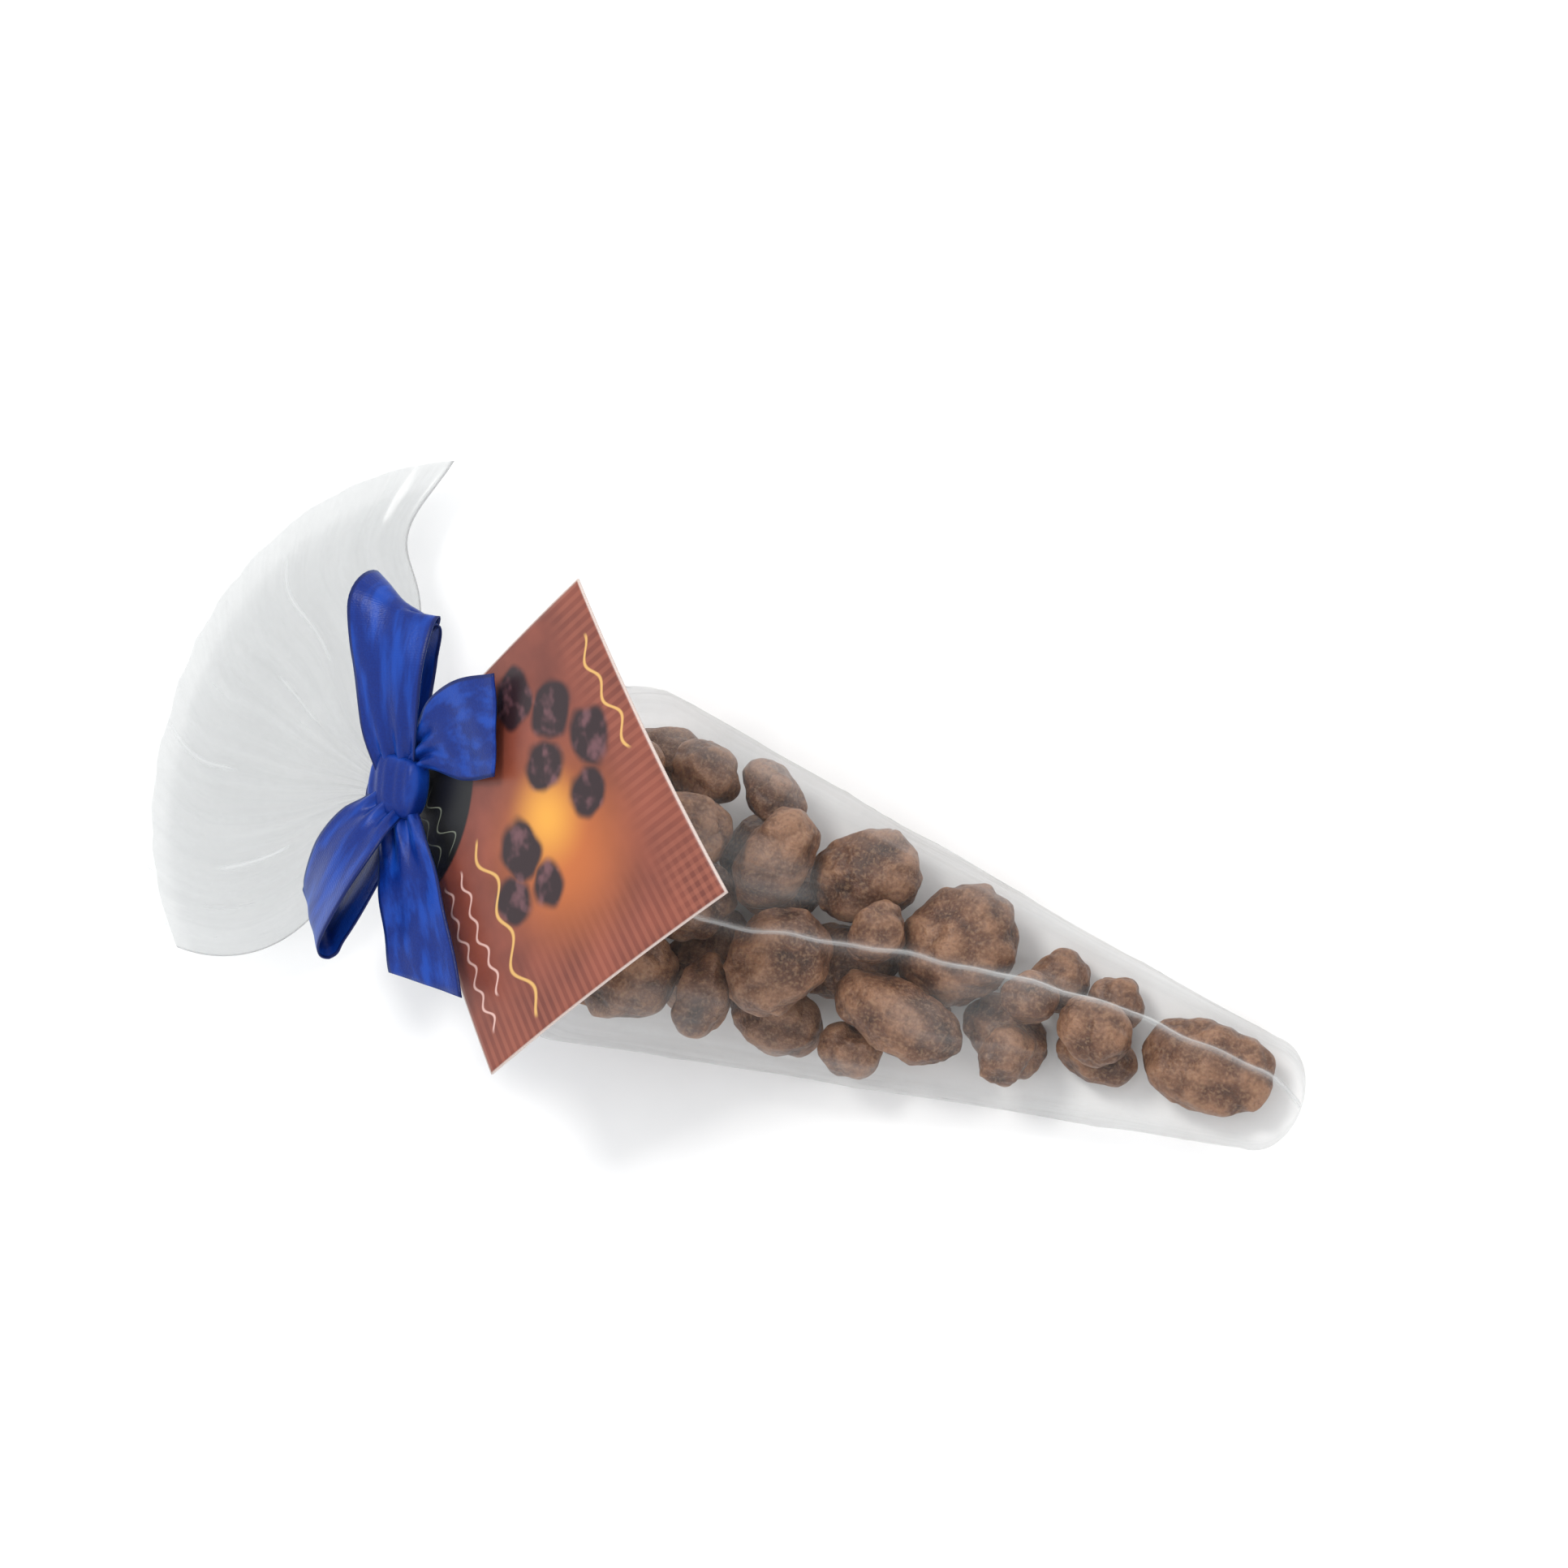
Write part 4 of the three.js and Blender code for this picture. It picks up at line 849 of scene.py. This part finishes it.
TAIL_OVER_CARD = [
    ((0.05, 0.19, 0.07), (-0.3, 0.9, 0.1), 0.35),
    ((0.21, 0.46, 0.2), (-0.5, 0.85, 0.1), 0.5),
    ((0.56, 0.7, 0.42), (-0.6, 0.8, 0.1), 0.97),
    ((0.91, 0.86, 0.62), (-0.56, 0.83, 0.05), 1.15),
    ((1.34, 1.01, 0.88), (-0.44, 0.9, 0.05), 1.14),
]
TAIL_DOWN = [
    ((0.05, -0.19, 0.02), (0.9, 0.4, 0), 0.4),
    ((0.31, -0.59, 0.11), (0.86, 0.48, 0.2), 0.68),
    ((0.75, -1.22, 0.2), (0.8, 0.5, 0.33), 0.97),
    ((1.29, -2, 0.31), (0.78, 0.48, 0.4), 1.1),
]


def catmull(values, share):
    """A point on a smooth curve through all the values."""
    spans = len(values) - 1
    place = clamp(share, 0, 1) * spans
    i = min(int(place), spans - 1)
    t = place - i
    p1, p2 = values[i], values[i + 1]
    p0 = values[i - 1] if i > 0 else p1 * 2 - p2
    p3 = values[i + 2] if i + 2 <= spans else p2 * 2 - p1
    return 0.5 * (
        2 * p1 + (p2 - p0) * t + (2 * p0 - 5 * p1 + 4 * p2 - p3) * t * t + (3 * p1 - p0 - 3 * p2 + p3) * t**3
    )


def ribbon_strip(controls, stations, skew):
    """Rows of points across a ribbon, from its knot end on."""
    route = [Vector(at) * RIBBON_WIDTH for at, _, _ in controls]
    sides = [Vector(side).normalized() * width for _, side, width in controls]
    rows = []
    for i in range(stations + 1):
        share = i / stations
        tangent = (catmull(route, share + 0.004) - catmull(route, share - 0.004)).normalized()
        side = catmull(sides, share)
        width = side.length * RIBBON_WIDTH
        side = (side - tangent * side.dot(tangent)).normalized()
        normal = tangent.cross(side)
        centre = catmull(route, share) + KNOT_CENTRE
        row = []
        for j in range(ACROSS_STEPS + 1):
            across = 2 * j / ACROSS_STEPS - 1
            bunched = 1 - smoothstep(width / RIBBON_WIDTH, 0.5, 0.95)
            gather = bunched * GATHER_HEIGHT * math.cos(across * math.pi * 3) * (1 - 0.3 * across**2)
            spread = (1 - bunched) * math.exp(-width / RIBBON_WIDTH)
            trail = TRAIL_HEIGHT * spread * math.cos(across * math.pi * 2 + 0.5)
            slack = SLACK_HEIGHT * math.sin(share * 17 + across * 2) * (1 - bunched)
            slant = tangent * (skew * share**4 * across)
            flat = centre + side * (across * width / 2)
            row.append(flat + normal * (gather + trail + slack) + slant)
        rows.append(row)
    return rows


# SATIN_DARK and SATIN_LIT are shaded and lit copies of the blue, for painted shade and highlights
SATIN_DARK = (0.001, 0.011, 0.12)
SATIN_LIT = (0.005, 0.045, 0.3)
SATIN_THREAD = (0.006, 0.05, 0.36)
SATIN_SELVAGE = (0.002, 0.01, 0.09)
SATIN_SHEEN = (0.12, 0.38, 1.0, 1)


def satin_material():
    material, tree = new_material("blue_satin")
    shader = add(tree, "ShaderNodeBsdfPrincipled")
    uv = add(tree, "ShaderNodeUVMap", uv_map="ribbon").outputs["UV"]
    parts = add(tree, "ShaderNodeSeparateXYZ")
    tree.links.new(uv, parts.inputs[0])
    broad = noise_node(tree, uv, 5, 3)
    weave = math_node(tree, "SINE", math_node(tree, "MULTIPLY", parts.outputs[0], 2 * math.pi * 160))
    threads = noise_node(tree, add(tree, "ShaderNodeTexCoord").outputs["Object"], 2600, 2)
    # Painted highlights and shade: broad noise mixes the shaded dark blue and the lit blue over the ribbon.
    lit = band(tree, broad, 0.54, 2, 0.12)
    colour = mix_colour(tree, lit, SATIN_DARK, SATIN_LIT)
    colour = mix_colour(tree, math_node(tree, "MULTIPLY", threads, 0.35), colour, SATIN_THREAD)
    selvage = band(tree, parts.outputs[1], 0.035, 0.965, 0.012)
    colour = mix_colour(tree, selvage, SATIN_SELVAGE, colour)
    tree.links.new(colour, shader.inputs["Base Color"])
    shader.inputs["Roughness"].default_value = 0.34
    shader.inputs["Specular IOR Level"].default_value = 0.22
    shader.inputs["Sheen Weight"].default_value = 0.2
    shader.inputs["Sheen Roughness"].default_value = 0.35
    shader.inputs["Sheen Tint"].default_value = SATIN_SHEEN
    fine = math_node(tree, "ADD", threads, selvage)
    relief = math_node(tree, "ADD", math_node(tree, "MULTIPLY", weave, 0.1), fine)
    tree.links.new(bump_node(tree, relief, 0.25, 0.0002), shader.inputs["Normal"])
    finish_material(tree, shader.outputs[0])
    return material


def make_ribbon():
    material = satin_material()
    strips = (
        ("bow_loop_up", LOOP_UP, LOOP_STATIONS, 0),
        ("bow_loop_down", LOOP_DOWN, LOOP_STATIONS, 0),
        ("bow_tail_over_card", TAIL_OVER_CARD, TAIL_STATIONS, TAIL_OVER_CARD_SKEW),
        ("bow_tail_down", TAIL_DOWN, TAIL_STATIONS, TAIL_DOWN_SKEW),
    )
    for name, controls, stations, skew in strips:
        rows = ribbon_strip(controls, stations, skew)
        points = [p for row in rows for p in row]
        columns = ACROSS_STEPS + 1
        faces = grid_faces(len(rows), columns, False)
        strip = make_object(name, points, faces, material, "ribbon_bow")
        uv = strip.data.uv_layers.new(name="ribbon")
        for loop in strip.data.loops:
            index = loop.vertex_index
            uv.data[loop.index].uv = (index // columns / stations, index % columns / ACROSS_STEPS)
        wall = strip.modifiers.new("wall", "SOLIDIFY")
        wall.thickness = RIBBON_THICKNESS * MM
        wall.offset = 0
        apply_modifiers(strip)
    make_knot(material)
    make_wrap(material)


def make_knot(material):
    """The ribbon's turn over the knot: a plump rounded block with folds across it."""
    along = Vector((math.cos(KNOT_SLOPE), 0, math.sin(KNOT_SLOPE)))
    across = Matrix.Rotation(CARD_ROLL, 3, along) @ Vector((0, 1, 0))
    axes = Matrix((along, across, along.cross(across))).transposed()
    points = []
    for i in range(KNOT_ROWS + 1):
        lat = math.pi * (i / KNOT_ROWS - 0.5)
        ring = math.cos(lat) ** 0.35
        y = math.copysign(abs(math.sin(lat)) ** 0.8, lat)
        for j in range(KNOT_COLUMNS):
            lon = 2 * math.pi * j / KNOT_COLUMNS
            c = math.copysign(abs(math.cos(lon)) ** 0.75, math.cos(lon)) * ring
            s = math.copysign(abs(math.sin(lon)) ** 0.6, math.sin(lon)) * ring
            fold = 1 + 0.07 * math.cos(c * 6 + 1.2 * y + 0.8) + 0.04 * math.cos(c * 15 + 2 * y)
            waist = 1 - 0.12 * (1 - abs(c)) * (1 - y * y)
            local = Vector((c * KNOT_WIDTH / 2 * waist, y * KNOT_LENGTH / 2, s * KNOT_HEIGHT / 2 * fold))
            points.append(KNOT_CENTRE + axes @ local)
    faces = grid_faces(KNOT_ROWS + 1, KNOT_COLUMNS, True)
    knot = make_object("bow_knot", points, faces, material, "ribbon_bow")
    uv = knot.data.uv_layers.new(name="ribbon")
    for loop in knot.data.loops:
        row, column = loop.vertex_index // KNOT_COLUMNS, loop.vertex_index % KNOT_COLUMNS
        uv.data[loop.index].uv = (row / KNOT_ROWS * 0.4, 0.1 + 0.8 * abs(column / KNOT_COLUMNS - 0.5))


WRAP_RADIUS = 5.75
WRAP_WIDTH = 10
WRAP_HALF_THICKNESS = 0.42
WRAP_FORWARD = 1.2  # its front edge lies this far past the card's hole
WRAP_CREASE = 0.12
WRAP_SEGMENTS = 72
WRAP_ROWS = 24


def make_wrap(material):
    """The ribbon's turn round the neck of the bag, as a closed band."""
    points = []
    for i in range(WRAP_ROWS):
        turn = 2 * math.pi * i / WRAP_ROWS
        along = math.copysign(abs(math.cos(turn)) ** 0.4, math.cos(turn)) * WRAP_WIDTH / 2
        radius = WRAP_RADIUS + math.sin(turn) * WRAP_HALF_THICKNESS + WRAP_CREASE * math.cos(along * 3.2)
        x = HOLE_CENTRE.x + WRAP_FORWARD - WRAP_WIDTH / 2 + along
        for j in range(WRAP_SEGMENTS):
            angle = 2 * math.pi * j / WRAP_SEGMENTS
            points.append((x, radius * math.cos(angle), NECK_HEIGHT + radius * math.sin(angle)))
    faces = []
    for i in range(WRAP_ROWS):
        for j in range(WRAP_SEGMENTS):
            k, n = (j + 1) % WRAP_SEGMENTS, (i + 1) % WRAP_ROWS
            corners = ((i, j), (i, k), (n, k), (n, j))
            faces.append(tuple(row * WRAP_SEGMENTS + column for row, column in corners))
    make_object("bow_neck_turn", points, faces, material, "ribbon_bow")


# Sweets

COCOA_DARK = (0.035, 0.013, 0.007)
COCOA_MID = (0.115, 0.047, 0.024)
COCOA_PALE = (0.27, 0.135, 0.075)
COCOA_DUST = (0.38, 0.23, 0.13)
COCOA_PITS = (0.05, 0.02, 0.01)
SWEET_ROUNDING = 3  # levels of subdivision
RIDGE_LENGTH = 8  # sizes of the sweets' ridges, facets, lumps and grain
FACET_LENGTH = 7
LUMP_LENGTH = 3.5
GRAIN_LENGTH = 1.3
RIDGE_HEIGHT = 0.7
FACET_HEIGHT = 0.8
LUMP_HEIGHT = 0.35
GRAIN_HEIGHT = 0.14
SURFACE_SINK = 0.25
SURFACE_LOW = -1.3
SURFACE_HIGH = 0.5  # the surface rises no further than this from the frame's sweet
SEED_STEP = 3.7


def chocolate_material():
    """Milk chocolate: pale on the ridges and dark in the hollows, partly wear and partly painted shade, with
    dust and fine pits.
    """
    material, tree = new_material("milk_chocolate")
    shader = add(tree, "ShaderNodeBsdfPrincipled")
    place = add(tree, "ShaderNodeTexCoord").outputs["Object"]
    patches = noise_node(tree, place, 170, 5, 0.7)
    wear_and_hollow_shade = add(tree, "ShaderNodeAttribute", attribute_name="wear_and_hollow_shade").outputs["Fac"]
    speckle = noise_node(tree, place, 1400, 3, 0.7)
    # Painted shade in the hollows and paler ridges, partly wear: the stored relief shifts the tone.
    shift = math_node(tree, "MULTIPLY", math_node(tree, "SUBTRACT", wear_and_hollow_shade, 0.5), 0.4)
    toned = math_node(tree, "ADD", patches, shift)
    warm = ramp_node(tree, toned, [(0.28, COCOA_DARK), (0.5, COCOA_MID), (0.74, COCOA_PALE)])
    dust = band(tree, speckle, 0.56, 2, 0.06)
    dusted = mix_colour(tree, math_node(tree, "MULTIPLY", dust, 0.35), warm, COCOA_DUST)
    pits = band(tree, speckle, -1, 0.4, 0.06)
    pitted = mix_colour(tree, math_node(tree, "MULTIPLY", pits, 0.4), dusted, COCOA_PITS)
    tree.links.new(pitted, shader.inputs["Base Color"])
    shader.inputs["Roughness"].default_value = 0.42
    shader.inputs["Specular IOR Level"].default_value = 0.4
    grain = math_node(tree, "ADD", speckle, math_node(tree, "MULTIPLY", patches, 2.0))
    tree.links.new(bump_node(tree, grain, 0.45, 0.0005), shader.inputs["Normal"])
    finish_material(tree, shader.outputs[0])
    return material


def sweet_relief(place, seed):
    """How far a sweet's surface stands out at a place, in millimetres."""
    ridges = 1 - 2.4 * abs(noise.noise(place / RIDGE_LENGTH + seed))
    cells = noise.voronoi(place / FACET_LENGTH + seed)[0]
    facets = 1.6 * (cells[1] - cells[0]) - 0.6
    lumps = noise.noise(place / LUMP_LENGTH + seed)
    grain = noise.noise(place / GRAIN_LENGTH + seed)
    relief = RIDGE_HEIGHT * ridges + FACET_HEIGHT * facets + LUMP_HEIGHT * lumps + GRAIN_HEIGHT * grain
    return clamp(relief - SURFACE_SINK, SURFACE_LOW, SURFACE_HIGH)


def make_sweets():
    """Each sweet of the frame is copied, rounded off and given ridges, facets and lumps."""
    material = chocolate_material()
    for name in sorted(n for n in frame["nodes"] if n.startswith("coated_sweet")):
        mesh = frame["nodes"][name].data.copy()
        form = bmesh.new()
        form.from_mesh(mesh)
        bmesh.ops.remove_doubles(form, verts=form.verts, dist=1e-5)
        form.to_mesh(mesh)
        form.free()
        sweet = bpy.data.objects.new("lump_" + name[-2:], mesh)
        bpy.context.scene.collection.objects.link(sweet)
        mesh.materials.clear()
        mesh.materials.append(material)
        rounding = sweet.modifiers.new("rounding", "SUBSURF")
        rounding.levels = rounding.render_levels = SWEET_ROUNDING
        apply_modifiers(sweet)
        mesh = sweet.data
        seed = Vector((int(name[-2:]) * SEED_STEP, 0, 0))
        normals = [v.normal.copy() for v in mesh.vertices]
        wear_and_hollow_shade = []
        for vertex, normal in zip(mesh.vertices, normals):
            height = sweet_relief(vertex.co / MM, seed)
            # Relief height from low to high, kept for the painted hollow shade and the worn ridges.
            wear_and_hollow_shade.append((height - SURFACE_LOW) / (SURFACE_HIGH - SURFACE_LOW))
            vertex.co += normal * height * MM
        mesh.attributes.new("wear_and_hollow_shade", "FLOAT", "POINT").data.foreach_set("value", wear_and_hollow_shade)
        mesh.polygons.foreach_set("use_smooth", [True] * len(mesh.polygons))
        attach(sweet, "root")
        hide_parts(name)


set_view()
make_camera()
make_floor()
make_lights()
make_film()
make_card()
make_ribbon()
make_sweets()
